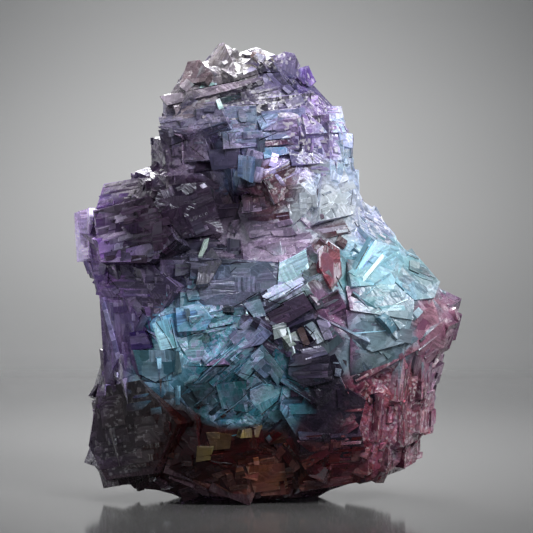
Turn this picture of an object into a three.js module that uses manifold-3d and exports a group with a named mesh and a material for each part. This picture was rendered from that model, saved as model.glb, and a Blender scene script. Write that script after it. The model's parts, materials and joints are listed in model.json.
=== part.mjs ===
// A fluorite cluster: cubic crystals grown together in one mass, standing on a flat cut base.
// Millimetres, +Z up. The side seen in the photograph faces -Y, and +X is to its right.
// Angles are in degrees, as [pitch, roll, yaw]: pitch tips the top towards the front,
// roll turns clockwise as seen from the front, and yaw turns the front face to the right.

import * as THREE from "three";
import { mergeVertices } from "three/addons/utils/BufferGeometryUtils.js";
import Module from "manifold-3d";

const wasm = await Module();
wasm.setup();

// Driving dimensions: the whole cluster, as worked out from the photograph.
const HEIGHT = 100;
const WIDTH = 85;
const DEPTH = 50;

// How far the crystals' tips reach: sections of the whole cluster, each with its height, its left and
// right limits, and its front and back limits. The outline in the photograph gives the left and right.
const TIPS = [
  { z: 0, left: -23, right: 9, front: -17, back: 16 },
  { z: 2.5, left: -31, right: 25, front: -20, back: 19 },
  { z: 6, left: -39.5, right: 31, front: -22, back: 21 },
  { z: 10, left: -42.5, right: 35.5, front: -23, back: 23 },
  { z: 18, left: -40, right: 39, front: -24, back: 24 },
  { z: 28, left: -38.5, right: 38.5, front: -25, back: 25 },
  { z: 36, left: -37, right: 42.5, front: -26, back: 25 },
  { z: 43, left: -37, right: 43.5, front: -26, back: 25 },
  { z: 48, left: -40.5, right: 38, front: -25, back: 24 },
  { z: 53, left: -42.5, right: 34, front: -24, back: 24 },
  { z: 58, left: -43, right: 29, front: -22, back: 22 },
  { z: 63, left: -42, right: 25, front: -21, back: 21 },
  { z: 66, left: -38, right: 23, front: -20, back: 20 },
  { z: 70, left: -32, right: 21.5, front: -20, back: 19 },
  { z: 73, left: -27.5, right: 20, front: -20, back: 18 },
  { z: 80, left: -26, right: 19, front: -20, back: 17 },
  { z: 84, left: -24.5, right: 17.5, front: -19, back: 15 },
  { z: 88, left: -23.5, right: 12.5, front: -17, back: 14 },
  { z: 94, left: -19, right: 10, front: -13, back: 11 },
  { z: 97.5, left: -15, right: 6, front: -8, back: 7 },
  { z: 100, left: -12, right: 0, front: -4, back: 4 },
];
const SECTION_POWER = 2.6; // 2 is an ellipse in plan, and more is squarer
const CORE_INSET = 7; // from the tips to the solid heart of the mass
const CORE_SIDES = 20;
const CORE_RINGS = 18;

// What a crystal's shape is, as stretches along its own X, Y and Z.
const CUBE = [1, 1, 1];
const PLATE = [1.4, 1, 0.5];
const PRISM = [0.75, 1, 1.5];

// Fields of crystals. The crystals of a field grew side by side, so they share its turn, give or take
// its sway, and meet in steps. at is the field's centre, and size the least and most of an edge.
const FIELDS = [
  { name: "crown cap", at: [1, -6, 95], turn: [20, -25, 25], size: [4, 7], sway: 8 },
  { name: "crown left prisms", at: [-15, -8, 91], turn: [15, 32, 20], size: [5, 8], sway: 7 },
  { name: "crown right blades", at: [8, -7, 91], turn: [10, -38, -20], size: [4, 8], shape: PRISM, sway: 6 },
  { name: "crown stack", at: [-3, -18, 80], turn: [6, -5, 4], size: [6, 10], shape: PLATE, sway: 2 },
  { name: "crown right steps", at: [15, -10, 79], turn: [8, 2, -24], size: [5, 9], sway: 3 },
  { name: "crown left steps", at: [-22, -8, 78], turn: [8, -6, 28], size: [6, 10], sway: 4 },
  { name: "neck", at: [-12, -15, 68], turn: [14, -12, 32], size: [5, 9], sway: 9 },
  { name: "left shoulder top", at: [-30, -8, 64], turn: [20, 12, 20], size: [6, 10], sway: 8 },
  { name: "left shoulder", at: [-34, -12, 53], turn: [8, -18, 34], size: [6, 11], sway: 8 },
  { name: "frosted swell", at: [13, -17, 66], turn: [-12, -24, 20], size: [7, 11], sway: 4 },
  { name: "pink face", at: [4, -20, 56], turn: [6, -8, -12], size: [7, 11], sway: 4 },
  { name: "centre slabs", at: [-8, -22, 49], turn: [10, 2, 8], size: [6, 10], shape: PLATE, sway: 4 },
  { name: "bright ledges", at: [8, -23, 48], turn: [14, -28, -10], size: [5, 9], shape: PLATE, sway: 6 },
  { name: "red knob", at: [16, -22, 52], turn: [22, 38, -12], size: [6, 9], sway: 5 },
  { name: "right dome", at: [28, -15, 44], turn: [-16, -36, 24], size: [8, 12], sway: 3 },
  { name: "right edge knobs", at: [39, -4, 34], turn: [12, 22, -40], size: [5, 9], sway: 10 },
  { name: "lower right prisms", at: [31, -12, 15], turn: [4, 5, -28], size: [6, 9], shape: PRISM, sway: 4 },
  { name: "centre blades", at: [9, -23, 34], turn: [18, 30, -18], size: [6, 10], shape: PLATE, sway: 24 },
  { name: "chevron steps", at: [-5, -24, 26], turn: [26, 45, 6], size: [6, 10], sway: 3 },
  { name: "left slabs", at: [-34, -12, 33], turn: [6, -14, 30], size: [6, 10], shape: PRISM, sway: 4 },
  { name: "blue cubes", at: [-21, -21, 29], turn: [8, -8, 14], size: [6, 10], sway: 5 },
  { name: "lower left face", at: [-31, -14, 13], turn: [-6, -12, 24], size: [8, 12], sway: 3 },
  { name: "bottom centre", at: [-6, -20, 8], turn: [4, 18, 12], size: [6, 10], sway: 8 },
  { name: "lower centre", at: [12, -21, 18], turn: [0, -34, -6], size: [7, 11], sway: 4 },
  { name: "bottom right", at: [14, -17, 5], turn: [-10, 24, -14], size: [6, 10], sway: 6 },
  { name: "back crown", at: [-4, 13, 84], turn: [-18, 20, 16], size: [6, 10], sway: 5 },
  { name: "back left", at: [-26, 16, 52], turn: [-8, -28, -24], size: [7, 11], sway: 5 },
  { name: "back middle", at: [0, 20, 58], turn: [-14, 12, 30], size: [7, 12], sway: 4 },
  { name: "back right", at: [24, 17, 40], turn: [-10, 40, 24], size: [7, 12], sway: 5 },
  { name: "back lower left", at: [-22, 18, 20], turn: [6, 16, -34], size: [7, 12], sway: 5 },
  { name: "back lower right", at: [14, 19, 14], turn: [-4, -14, 38], size: [7, 12], sway: 5 },
];
const FIELD_SPACING = 9.8; // between crystals, over the surface
const PULL_STEP = 0.4; // how a crystal that reaches too far is drawn back into the mass
const SEED = 20;

// The crystals that stand out in the photograph. size is along the crystal's own X, Y and Z.
const STANDING_CRYSTALS = [
  // The crown: a prism at the tip, tilted plates under it, and blades to its right
  { name: "tip prism", at: [-9.5, -2, 92.5], size: [8, 9, 10], turn: [14, 38, 24] },
  { name: "tip cube", at: [-3, 0, 94], size: [7, 7, 7], turn: [18, -20, 40] },
  { name: "left prism", at: [-15.5, -5, 88.5], size: [9, 9, 9], turn: [10, 30, 22] },
  { name: "tilted plate", at: [-12, -9, 87.5], size: [27, 15, 4], turn: [16, -13, 12] },
  { name: "upper blade", at: [1.5, -4, 90], size: [5, 12, 14], turn: [10, -36, -14] },
  { name: "lower blade", at: [7, -4, 87.5], size: [5, 12, 13], turn: [10, -42, -20] },
  // The stack of plates that makes the face of the crown
  { name: "stack plate 1", at: [-4, -10, 84], size: [27, 15, 7], turn: [8, -7, 4] },
  { name: "stack plate 2", at: [-4, -11.5, 79.5], size: [34, 15, 6], turn: [6, -5, 2] },
  { name: "stack plate 3", at: [-2, -12, 74.5], size: [38, 15, 6], turn: [5, -3, 2] },
  { name: "stack plate 4", at: [0, -12, 70.5], size: [30, 14, 5], turn: [4, -4, -2] },
  { name: "window face", at: [3.5, -16, 79], size: [9, 8, 7], turn: [6, -6, -4] },
  { name: "right end", at: [12, -6, 81], size: [10, 14, 8], turn: [8, 2, -20] },
  { name: "right end step", at: [14, -7, 74], size: [10, 15, 10], turn: [8, 4, -22] },
  { name: "blue stub", at: [-3, -17, 71], size: [6, 7, 9], turn: [8, 14, 12] },
  // The swell to the right of the neck, and the pink face under it
  { name: "swell", at: [12, -9, 66], size: [17, 17, 15], turn: [-12, -26, 20] },
  { name: "pink block", at: [5, -14, 57], size: [17, 14, 11], turn: [4, -10, -8] },
  { name: "shoulder spur", at: [22, -8, 58], size: [9, 14, 13], turn: [-8, -32, 24] },
  // The left shoulder
  { name: "shoulder block", at: [-31, -5, 61], size: [15, 16, 11], turn: [14, 8, 20] },
  { name: "shoulder step", at: [-25, -7, 67], size: [12, 13, 8], turn: [10, -8, 18] },
  { name: "shoulder corner", at: [-36, -3, 57], size: [9, 13, 12], turn: [8, -10, 24] },
  // The middle: a broad slab, three ledges that climb to the right, and a knob
  { name: "broad slab", at: [-7, -17, 48.5], size: [22, 13, 9], turn: [8, 3, 6] },
  { name: "ledge 1", at: [7, -18, 51], size: [15, 12, 5], turn: [16, -30, -8] },
  { name: "ledge 2", at: [9.5, -19, 46.5], size: [15, 12, 4], turn: [16, -28, -6] },
  { name: "ledge 3", at: [11, -20, 42.5], size: [13, 11, 4], turn: [14, -26, -4] },
  { name: "knob", at: [16, -17, 52], size: [9, 11, 10], turn: [20, 40, -10] },
  // The dome on the right, one crystal in nested steps, and the knobs on its edge
  { name: "dome core", at: [25, -9, 43], size: [25, 20, 22], turn: [-14, -36, 22] },
  { name: "dome step 1", at: [26, -11, 42], size: [20, 20, 17], turn: [-16, -38, 24] },
  { name: "dome step 2", at: [27, -13, 41], size: [14, 20, 12], turn: [-18, -40, 26] },
  { name: "dome shelf", at: [22, -14, 33], size: [16, 14, 9], turn: [-6, -28, 10] },
  { name: "edge knob 1", at: [37, -4, 40], size: [9, 12, 9], turn: [14, 24, -36] },
  { name: "edge knob 2", at: [36.5, -6, 32], size: [9, 12, 8], turn: [10, 10, -30] },
  // The left flank: tall slabs, a blue cube and a cleaved face over it
  { name: "tall slab 1", at: [-32, -9, 35], size: [7, 16, 22], turn: [6, -14, 24] },
  { name: "tall slab 2", at: [-26.5, -13, 36], size: [8, 14, 17], turn: [8, -16, 18] },
  { name: "flank corner", at: [-35, -2, 27], size: [8, 16, 15], turn: [4, 18, 30] },
  { name: "blue cube", at: [-21, -16, 28], size: [12, 13, 11], turn: [8, -7, 12] },
  { name: "cleaved face", at: [-22, -16.5, 37], size: [6, 12, 9], turn: [4, -14, 16] },
  // The chevrons, nested corners that point up
  { name: "chevron 1", at: [-7, -14, 27], size: [19, 18, 19], turn: [24, 45, 6] },
  { name: "chevron 2", at: [-6, -16, 25], size: [16, 17, 16], turn: [24, 45, 6] },
  { name: "chevron 3", at: [-5, -18, 23], size: [13, 15, 13], turn: [24, 45, 6] },
  // Blades that cross in the middle
  { name: "crossed blade 1", at: [3, -18, 36], size: [14, 12, 4], turn: [20, 36, -10] },
  { name: "crossed blade 2", at: [12, -19, 34], size: [13, 12, 4], turn: [12, -40, -14] },
  { name: "crossed blade 3", at: [16, -19, 30], size: [4, 12, 13], turn: [8, -24, -18] },
  { name: "crossed blade 4", at: [-13, -19, 41], size: [12, 11, 4], turn: [18, -12, 16] },
  // The foot: a rough face, stained corners, and upright prisms on the right
  { name: "rough face", at: [-29, -8, 14], size: [17, 20, 20], turn: [-4, -10, 22] },
  { name: "rough corner", at: [-34, -3, 10], size: [12, 16, 11], turn: [2, 22, 28] },
  { name: "stained chip 1", at: [-13, -18, 14], size: [5, 9, 7], turn: [6, 14, 10] },
  { name: "stained chip 2", at: [-5.5, -18.5, 15], size: [7, 9, 5], turn: [10, -12, -6] },
  { name: "lower swell", at: [10, -14, 19], size: [17, 17, 15], turn: [4, -36, -6] },
  { name: "prism 1", at: [24, -10, 17], size: [8, 18, 19], turn: [4, 6, -24] },
  { name: "prism 2", at: [31, -6, 16], size: [9, 18, 21], turn: [4, 4, -30] },
  { name: "prism foot", at: [22, -9, 7], size: [14, 17, 9], turn: [-6, -22, -18] },
  { name: "bottom step", at: [-8, -9, 4.5], size: [26, 20, 11], turn: [-4, 2, 4] },
];

const MATERIAL = new THREE.MeshStandardMaterial({ color: 0x8478a0, roughness: 0.25, metalness: 0 });

// A number generator with a fixed seed, so that the cluster is the same each time.
function seededRandom(seed) {
  let state = seed;
  return () => {
    state = (state + 0x6d2b79f5) | 0;
    let t = Math.imul(state ^ (state >>> 15), 1 | state);
    t = (t + Math.imul(t ^ (t >>> 7), 61 | t)) ^ t;
    return ((t ^ (t >>> 14)) >>> 0) / 4294967296;
  };
}

const random = seededRandom(SEED);
const between = (low, high) => low + (high - low) * random();

// The section at a height, between the two given ones around it, drawn in by an inset.
function sectionAt(z, inset = 0) {
  const last = TIPS.length - 1;
  const above = TIPS.findIndex((s, i) => i > 0 && s.z >= z);
  const upper = TIPS[above < 0 ? last : above];
  const lower = TIPS[above < 0 ? last - 1 : above - 1];
  const share = THREE.MathUtils.clamp((z - lower.z) / (upper.z - lower.z), 0, 1);
  const blend = (key) => THREE.MathUtils.lerp(lower[key], upper[key], share);
  return {
    left: blend("left") + inset,
    right: blend("right") - inset,
    front: blend("front") + inset,
    back: blend("back") - inset,
  };
}

// A point on a section's rim, at an angle counted from +X towards +Y.
function rimPoint(z, angle, inset = 0) {
  const s = sectionAt(z, inset);
  const rounded = (value) => Math.sign(value) * Math.abs(value) ** (2 / SECTION_POWER);
  const x = (s.left + s.right) / 2 + ((s.right - s.left) / 2) * rounded(Math.cos(angle));
  const y = (s.front + s.back) / 2 + ((s.back - s.front) / 2) * rounded(Math.sin(angle));
  return new THREE.Vector3(x, y, z);
}

// The outward direction at a point on the rim.
function rimNormal(z, angle) {
  const step = 0.05;
  const rise = 2;
  const along = rimPoint(z, angle + step).sub(rimPoint(z, angle - step));
  const up = rimPoint(z + rise, angle).sub(rimPoint(z - rise, angle));
  return along.cross(up).normalize();
}

// Whether a point is where the crystals' tips may reach. What lies under the floor is cut off flat, so
// a point there is held to the outline of the base.
function isWithinTips(point) {
  const s = sectionAt(Math.max(point.z, 0));
  const x = (2 * point.x - s.left - s.right) / (s.right - s.left);
  const y = (2 * point.y - s.front - s.back) / (s.back - s.front);
  const top = TIPS[TIPS.length - 1].z;
  return point.z < top && Math.abs(x) ** SECTION_POWER + Math.abs(y) ** SECTION_POWER < 1;
}

function solidFrom(geometry) {
  const bare = geometry.clone();
  bare.deleteAttribute("normal");
  bare.deleteAttribute("uv");
  const merged = mergeVertices(bare);
  const mesh = new wasm.Mesh({
    numProp: 3,
    vertProperties: merged.attributes.position.array,
    triVerts: new Uint32Array(merged.index.array),
  });
  return new wasm.Manifold(mesh);
}

function geometryFrom(solid) {
  const { vertProperties, triVerts } = solid.getMesh();
  const geometry = new THREE.BufferGeometry();
  geometry.setAttribute("position", new THREE.BufferAttribute(vertProperties, 3));
  geometry.setIndex(new THREE.BufferAttribute(triVerts, 1));
  return geometry;
}

// The heart of the mass: a sphere whose rows become the sections, so that it is closed at both ends.
function coreSolid() {
  const geometry = new THREE.SphereGeometry(1, CORE_SIDES, CORE_RINGS).rotateX(Math.PI / 2);
  const position = geometry.attributes.position;
  const bottom = -CORE_INSET;
  const top = TIPS[TIPS.length - 1].z - CORE_INSET / 2;
  for (let i = 0; i < position.count; i++) {
    const ring = Math.acos(THREE.MathUtils.clamp(position.getZ(i), -1, 1)) / Math.PI;
    const z = THREE.MathUtils.lerp(top, bottom, ring);
    const angle = Math.atan2(position.getY(i), position.getX(i));
    const isPole = ring < 0.001 || ring > 0.999;
    const point = rimPoint(z, angle, CORE_INSET);
    if (isPole) point.set(rimPoint(z, 0, CORE_INSET).lerp(rimPoint(z, Math.PI, CORE_INSET), 0.5).x, 0, z);
    position.setXYZ(i, point.x, point.y, point.z);
  }
  return solidFrom(geometry);
}

// Where a crystal stands and how it is turned.
function placing({ at, turn }) {
  const [pitch, roll, yaw] = turn.map(THREE.MathUtils.degToRad);
  const rotation = new THREE.Quaternion().setFromEuler(new THREE.Euler(pitch, roll, yaw, "ZXY"));
  return new THREE.Matrix4().compose(new THREE.Vector3(...at), rotation, new THREE.Vector3(1, 1, 1));
}

// One crystal, a block with flat faces.
function crystalSolid(crystal) {
  return solidFrom(new THREE.BoxGeometry(...crystal.size).applyMatrix4(placing(crystal)));
}

function cornersOf(crystal) {
  const signs = [-0.5, 0.5];
  const [w, d, h] = crystal.size;
  const matrix = placing(crystal);
  return signs.flatMap((i) =>
    signs.flatMap((j) => signs.map((k) => new THREE.Vector3(i * w, j * d, k * h).applyMatrix4(matrix)))
  );
}

// A crystal moved inwards until its tips reach no further than the cluster's.
function pulledIn(crystal, inwards) {
  const at = new THREE.Vector3(...crystal.at);
  const mostSteps = 30;
  for (let step = 0; step < mostSteps; step++) {
    const moved = { ...crystal, at: at.toArray() };
    if (cornersOf(moved).every(isWithinTips)) return moved;
    at.addScaledVector(inwards, PULL_STEP);
  }
  return { ...crystal, at: at.toArray() };
}

function nearestField(point) {
  const distance = (field) => point.distanceTo(new THREE.Vector3(...field.at));
  return FIELDS.reduce((best, field) => (distance(field) < distance(best) ? field : best));
}

// A crystal of the field that a point of the surface belongs to.
function fieldCrystal(z, angle) {
  const point = rimPoint(z, angle);
  const field = nearestField(point);
  const shape = field.shape ?? CUBE;
  const edge = between(...field.size);
  const size = shape.map((stretch) => edge * stretch * between(0.85, 1.2));
  const turn = field.turn.map((degrees) => degrees + between(-field.sway, field.sway));
  const inwards = rimNormal(z, angle).negate();
  const sunk = between(0, 0.12) * edge;
  const crystal = pulledIn({ at: point.toArray(), size, turn }, inwards);
  crystal.at = new THREE.Vector3(...crystal.at).addScaledVector(inwards, sunk).toArray();
  return crystal;
}

// Crystals all over the surface, in rows from the foot to the tip.
function fieldCrystals() {
  const lowest = 3;
  const highest = 97;
  const rowStep = FIELD_SPACING * 0.85;
  const crystals = [];
  for (let z = lowest; z <= highest; z += rowStep) {
    const s = sectionAt(z);
    const around = Math.PI * Math.hypot((s.right - s.left) / 2, (s.back - s.front) / 2) * Math.SQRT2;
    const count = Math.max(4, Math.round(around / FIELD_SPACING));
    const start = between(0, Math.PI);
    for (let i = 0; i < count; i++) {
      const angle = start + ((i + between(-0.25, 0.25)) / count) * 2 * Math.PI;
      crystals.push(fieldCrystal(z + between(-1.5, 1.5), angle));
    }
  }
  return crystals;
}

// A crystal that stands out, drawn back towards the upright middle of the mass where it reaches too far.
function standingCrystal(crystal) {
  const s = sectionAt(crystal.at[2]);
  const middle = new THREE.Vector3((s.left + s.right) / 2, (s.front + s.back) / 2, crystal.at[2]);
  return pulledIn(crystal, middle.sub(new THREE.Vector3(...crystal.at)).normalize());
}

// The flat cut that the cluster stands on: everything below the floor plane is taken off.
function cutBase(solid) {
  const below = new THREE.BoxGeometry(3 * WIDTH, 3 * DEPTH, HEIGHT).translate(0, 0, -HEIGHT / 2);
  return solid.subtract(solidFrom(below));
}

// The mass without the gaps that its crystals have closed off, which are each a body inside out.
function filled(solid) {
  return solid.decompose().reduce((best, body) => (body.volume() > best.volume() ? body : best));
}

function clusterSolid() {
  const crystals = [...STANDING_CRYSTALS.map(standingCrystal), ...fieldCrystals()].map(crystalSolid);
  return filled(cutBase(crystals.reduce((mass, crystal) => mass.add(crystal), coreSolid())));
}

const cluster = new THREE.Mesh(geometryFrom(clusterSolid()), MATERIAL);
cluster.name = "fluorite_cluster";

// The origin is on the floor, under the middle of the cluster.
cluster.geometry.computeBoundingBox();
const middle = cluster.geometry.boundingBox.getCenter(new THREE.Vector3());
cluster.position.set(-middle.x, -middle.y, 0);

const part = new THREE.Group();
part.add(cluster);

export default part;
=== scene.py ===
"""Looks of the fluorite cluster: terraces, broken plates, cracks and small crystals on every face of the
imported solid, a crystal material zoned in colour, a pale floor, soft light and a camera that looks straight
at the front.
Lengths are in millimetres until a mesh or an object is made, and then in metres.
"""

import json
import math
import random

import bmesh
import bpy
import numpy as np
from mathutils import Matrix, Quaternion, Vector
from mathutils.bvhtree import BVHTree

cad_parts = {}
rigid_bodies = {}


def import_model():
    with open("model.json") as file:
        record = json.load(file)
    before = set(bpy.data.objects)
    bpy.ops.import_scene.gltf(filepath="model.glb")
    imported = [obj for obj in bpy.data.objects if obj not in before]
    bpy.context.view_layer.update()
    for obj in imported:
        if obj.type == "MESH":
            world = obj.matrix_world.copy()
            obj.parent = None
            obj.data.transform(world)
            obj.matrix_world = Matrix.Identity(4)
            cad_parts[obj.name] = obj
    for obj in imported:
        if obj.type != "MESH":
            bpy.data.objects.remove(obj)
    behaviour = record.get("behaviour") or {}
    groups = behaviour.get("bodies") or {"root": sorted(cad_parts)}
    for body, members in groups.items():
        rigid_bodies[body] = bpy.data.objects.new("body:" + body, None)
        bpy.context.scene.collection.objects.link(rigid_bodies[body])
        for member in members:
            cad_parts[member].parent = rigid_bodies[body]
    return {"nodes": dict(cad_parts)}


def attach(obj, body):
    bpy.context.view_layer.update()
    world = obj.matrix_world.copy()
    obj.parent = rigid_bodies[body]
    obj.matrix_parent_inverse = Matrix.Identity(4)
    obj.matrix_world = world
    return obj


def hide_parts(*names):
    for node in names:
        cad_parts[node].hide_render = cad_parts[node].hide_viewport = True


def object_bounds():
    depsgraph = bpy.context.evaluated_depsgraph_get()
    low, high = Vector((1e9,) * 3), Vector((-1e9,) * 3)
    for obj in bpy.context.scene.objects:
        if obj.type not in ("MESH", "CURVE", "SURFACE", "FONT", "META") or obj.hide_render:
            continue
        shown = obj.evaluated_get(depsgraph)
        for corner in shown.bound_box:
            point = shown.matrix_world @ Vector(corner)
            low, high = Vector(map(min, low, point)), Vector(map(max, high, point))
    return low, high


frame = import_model()
cad_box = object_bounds()

NODE = "fluorite_cluster"
MM = 0.001
SEED = 7

# The photograph's frame: its size, its scale in the plane y = 0, the row of the floor and the column of the
# part's middle, and the level camera that sees it
PHOTO_PIXELS = 533
MM_PER_PIXEL = 0.22
FLOOR_ROW = 497
MIDDLE_COLUMN = 267.9
CAMERA_LENS = 135.0
SENSOR = 36.0
CAMERA_DISTANCE = PHOTO_PIXELS * MM_PER_PIXEL * CAMERA_LENS / SENSOR

rng = random.Random(SEED)


def at_pixel(column, row):
    """The place in millimetres of a pixel of the photograph, in the plane y = 0."""
    return Vector(((column - MIDDLE_COLUMN) * MM_PER_PIXEL, 0.0, (FLOOR_ROW - row) * MM_PER_PIXEL))


CAMERA = at_pixel(PHOTO_PIXELS / 2, PHOTO_PIXELS / 2) - Vector((0, CAMERA_DISTANCE, 0))


def as_seen(points):
    """Points moved sideways and up to where the camera sees them in the plane y = 0."""
    seen = points.copy()
    axis = np.array(CAMERA[:])[[0, 2]]
    nearer = CAMERA_DISTANCE / (CAMERA_DISTANCE + points[:, 1:2])
    seen[:, [0, 2]] = axis + (points[:, [0, 2]] - axis) * nearer
    return seen


def linear(hex_colour):
    """A colour written as six hex digits, in linear light."""
    values = [int(hex_colour[i : i + 2], 16) / 255 for i in (0, 2, 4)]
    return tuple(v / 12.92 if v <= 0.04045 else ((v + 0.055) / 1.055) ** 2.4 for v in values)


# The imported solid, cut into its flat facets

SAME_PLACE = 1e-7  # metres


def merged_solid():
    """The CAD node's mesh in millimetres, with its shared corners merged."""
    solid = bmesh.new()
    solid.from_mesh(frame["nodes"][NODE].data)
    bmesh.ops.remove_doubles(solid, verts=solid.verts, dist=SAME_PLACE)
    bmesh.ops.scale(solid, vec=(1 / MM, 1 / MM, 1 / MM), verts=solid.verts)
    solid.faces.ensure_lookup_table()
    return solid


FLAT_ANGLE = math.radians(1.5)
SHORTEST_AXIS = 0.05  # a direction that is shorter in a facet's plane isn't used
ON_A_SIDE = 1e-6
FILLING = -1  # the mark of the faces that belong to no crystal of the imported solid
GRAIN_SWAY = 0.1  # how far a random number varies within a crystal


class Facet:
    """A flat face of the mass: its triangles, its normal, and two directions in its plane."""

    def __init__(self, faces, axis=None, grain=None, mark=FILLING):
        self.faces = faces
        self.mark = mark
        self.area = sum(f.calc_area() for f in faces)
        self.normal = max(faces, key=lambda f: f.calc_area()).normal.copy()
        self.points = np.array([v.co[:] for f in faces for v in f.verts])
        self.middle = Vector(self.points.mean(0))
        along = self.longest_rim() if axis is None else axis
        along = along - self.normal * along.dot(self.normal)
        if along.length < SHORTEST_AXIS:
            along = self.normal.orthogonal()
        self.along = along.normalized()
        self.across = self.normal.cross(self.along)
        flat = self.flat(self.points)
        self.triangles = flat.reshape(-1, 3, 2)
        self.low, self.high = flat.min(0), flat.max(0)
        self.busy = zone_values(np.array([self.middle[:]]))[0, BUSY]
        self.grain = rng.random() if grain is None else grain + rng.gauss(0, GRAIN_SWAY)

    def longest_rim(self):
        own = {f.index for f in self.faces}
        rim = [e for f in self.faces for e in f.edges if any(n.index not in own for n in e.link_faces)]
        sides = (e.verts[1].co - e.verts[0].co for e in rim)
        return max(sides, key=lambda side: side.length)

    def flat(self, points):
        """Points as distances along and across the facet."""
        axes = np.array([self.along[:], self.across[:]])
        return np.atleast_2d(points) @ axes.T

    def random_point(self):
        """A random point of the facet, even over its area."""
        face = rng.choices(self.faces, [f.calc_area() for f in self.faces])[0]
        a, b, c = (v.co for v in face.verts)
        s, t = rng.random(), rng.random()
        if s + t > 1:
            s, t = 1 - s, 1 - t
        return a + (b - a) * s + (c - a) * t

    def holds(self, points):
        """Whether each of these flat points lies in one of the facet's triangles."""
        inside = np.zeros(len(points), bool)
        for a, b, c in self.triangles:
            sides = []
            for p, q in ((a, b), (b, c), (c, a)):
                sides.append((q[0] - p[0]) * (points[:, 1] - p[1]) - (q[1] - p[1]) * (points[:, 0] - p[0]))
            sides = np.array(sides)
            inside |= (sides >= -ON_A_SIDE).all(0) | (sides <= ON_A_SIDE).all(0)
        return inside


def facets_of(solid, marks=None, crystals=None):
    """The solid's flat facets, each a set of joined triangles that face the same way. With marks, a facet
    has the directions of the crystal face that it is part of, or else of the nearest one."""
    left = set(solid.faces)
    facets = []
    if crystals:
        places = np.array([c.middle[:] for c in crystals])
    for first in solid.faces:
        if first not in left:
            continue
        left.remove(first)
        found, edge_of_search = [first], [first]
        while edge_of_search:
            face = edge_of_search.pop()
            for other in (n for e in face.edges for n in e.link_faces):
                if other in left and other.normal.angle(first.normal, math.pi) < FLAT_ANGLE:
                    left.remove(other)
                    found.append(other)
                    edge_of_search.append(other)
        axis, grain, mark = None, None, FILLING
        if crystals:
            mark = marks[first.index]
            source = mark
            if mark == FILLING:
                apart = np.linalg.norm(places - np.array(first.calc_center_median()[:]), axis=1)
                source = int(apart.argmin())
            axis, grain = crystals[source].along, crystals[source].grain
        facets.append(Facet(found, axis, grain, mark))
    return facets


# Shards: flat pieces of crystal with straight sides, which are joined to the mass or cut from it


class Shard:
    """A convex block: its outline in the plane of its first two directions, and the height of its root
    and of each corner of its top along the third."""

    def __init__(self, middle, axes, outline, root, tops, grain):
        self.along, self.across, up = axes
        self.middle = Vector(middle)
        flat = [self.middle + self.along * x + self.across * y for x, y in outline]
        self.bottom = [p + up * root for p in flat]
        self.top = [p + up * height for p, height in zip(flat, tops)]
        self.radius = max((p - self.middle).length for p in self.bottom + self.top)
        self.grain = grain + rng.gauss(0, GRAIN_SWAY)

    def corners(self):
        return self.bottom + self.top

    def faces(self):
        """The faces by corner number, with whether each is a side."""
        count = len(self.top)
        sides = [(i, (i + 1) % count, count + (i + 1) % count, count + i) for i in range(count)]
        caps = [tuple(reversed(range(count))), tuple(range(count, 2 * count))]
        return [(face, 1) for face in sides] + [(face, 0) for face in caps]


SKEW = 0.5
CORNER_CHANCE = 0.55  # that a corner is cut off
CORNER_CUTS = (0.3, 0.9)
CORNER_SLANTS = (0.4, 1)


def outline(half_along, half_across, irregular):
    """A rectangle, or one with corners cut off and sides askew."""
    skew = irregular * rng.uniform(-SKEW, SKEW)
    points = []
    for x, y in ((-1, -1), (1, -1), (1, 1), (-1, 1)):
        is_cut = rng.random() < CORNER_CHANCE * irregular
        cut = irregular * rng.uniform(*CORNER_CUTS) if is_cut else 0
        points += [(x * (1 - cut), y), (x, y * (1 - cut * rng.uniform(*CORNER_SLANTS)))]
    return [((x + skew * y) * half_along, y * half_across) for x, y in hull(points)]


STRAIGHT = 1e-9  # below this, three points lie in a line


def hull(points):
    """The convex outline around flat points, anticlockwise."""
    ordered = sorted(set(points))

    def half(side):
        chain = []
        for p in side:
            while len(chain) > 1 and turn(chain[-2], chain[-1], p) <= STRAIGHT:
                chain.pop()
            chain.append(p)
        return chain[:-1]

    return half(ordered) + half(ordered[::-1])


def turn(a, b, c):
    """Above 0 where the way from a over b to c turns left."""
    return (b[0] - a[0]) * (c[1] - a[1]) - (b[1] - a[1]) * (c[0] - a[0])


def sloped(points, height, lean):
    """Heights of a flat top that leans, over an outline."""
    slope_x, slope_y = (math.tan(math.radians(rng.uniform(-lean, lean))) for _ in range(2))
    return [height + slope_x * x + slope_y * y for x, y in points]


LOWEST = 0.15  # how near the floor a shard may come


def within_box(shard, spare=0.3):
    """Whether a shard stays in the CAD model's box, and off the floor."""
    low, high = cad_box[0] / MM, cad_box[1] / MM
    return all(
        low.x - spare < c.x < high.x + spare
        and low.y - spare < c.y < high.y + spare
        and LOWEST < c.z < high.z + spare
        for c in shard.corners()
    )


def spun(axes, degrees):
    """Axes turned about a random direction by up to some degrees."""
    about = Vector([rng.uniform(-1, 1) for _ in range(3)]).normalized()
    turned = Quaternion(about, math.radians(rng.uniform(-degrees, degrees)))
    return [turned @ a for a in axes]


BACK_SHARE = 0.5
BACK_NORMAL = 0.3


def share_of(facet):
    """How much of the fine work a facet gets: all of it in front, and less behind."""
    return 1 if facet.normal.y < BACK_NORMAL else BACK_SHARE


LEAST_FACET = 1.2
UNDERSIDE_NORMAL = -0.95
TERRACE_ROOT = 0.5  # how far a terrace reaches into the mass
TERRACE_LEAN = 2
RISE_RANGE = (0.8, 1.3)
IRREGULARITIES = (0, 0.3, 0.6, 1)
DRAWN_IN = (0.72, 0.86)  # what each round keeps of a terrace's length and width
DRAWN_IN_ROUNDS = 8
NARROWEST, SHORTEST = 0.09, 0.5
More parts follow.
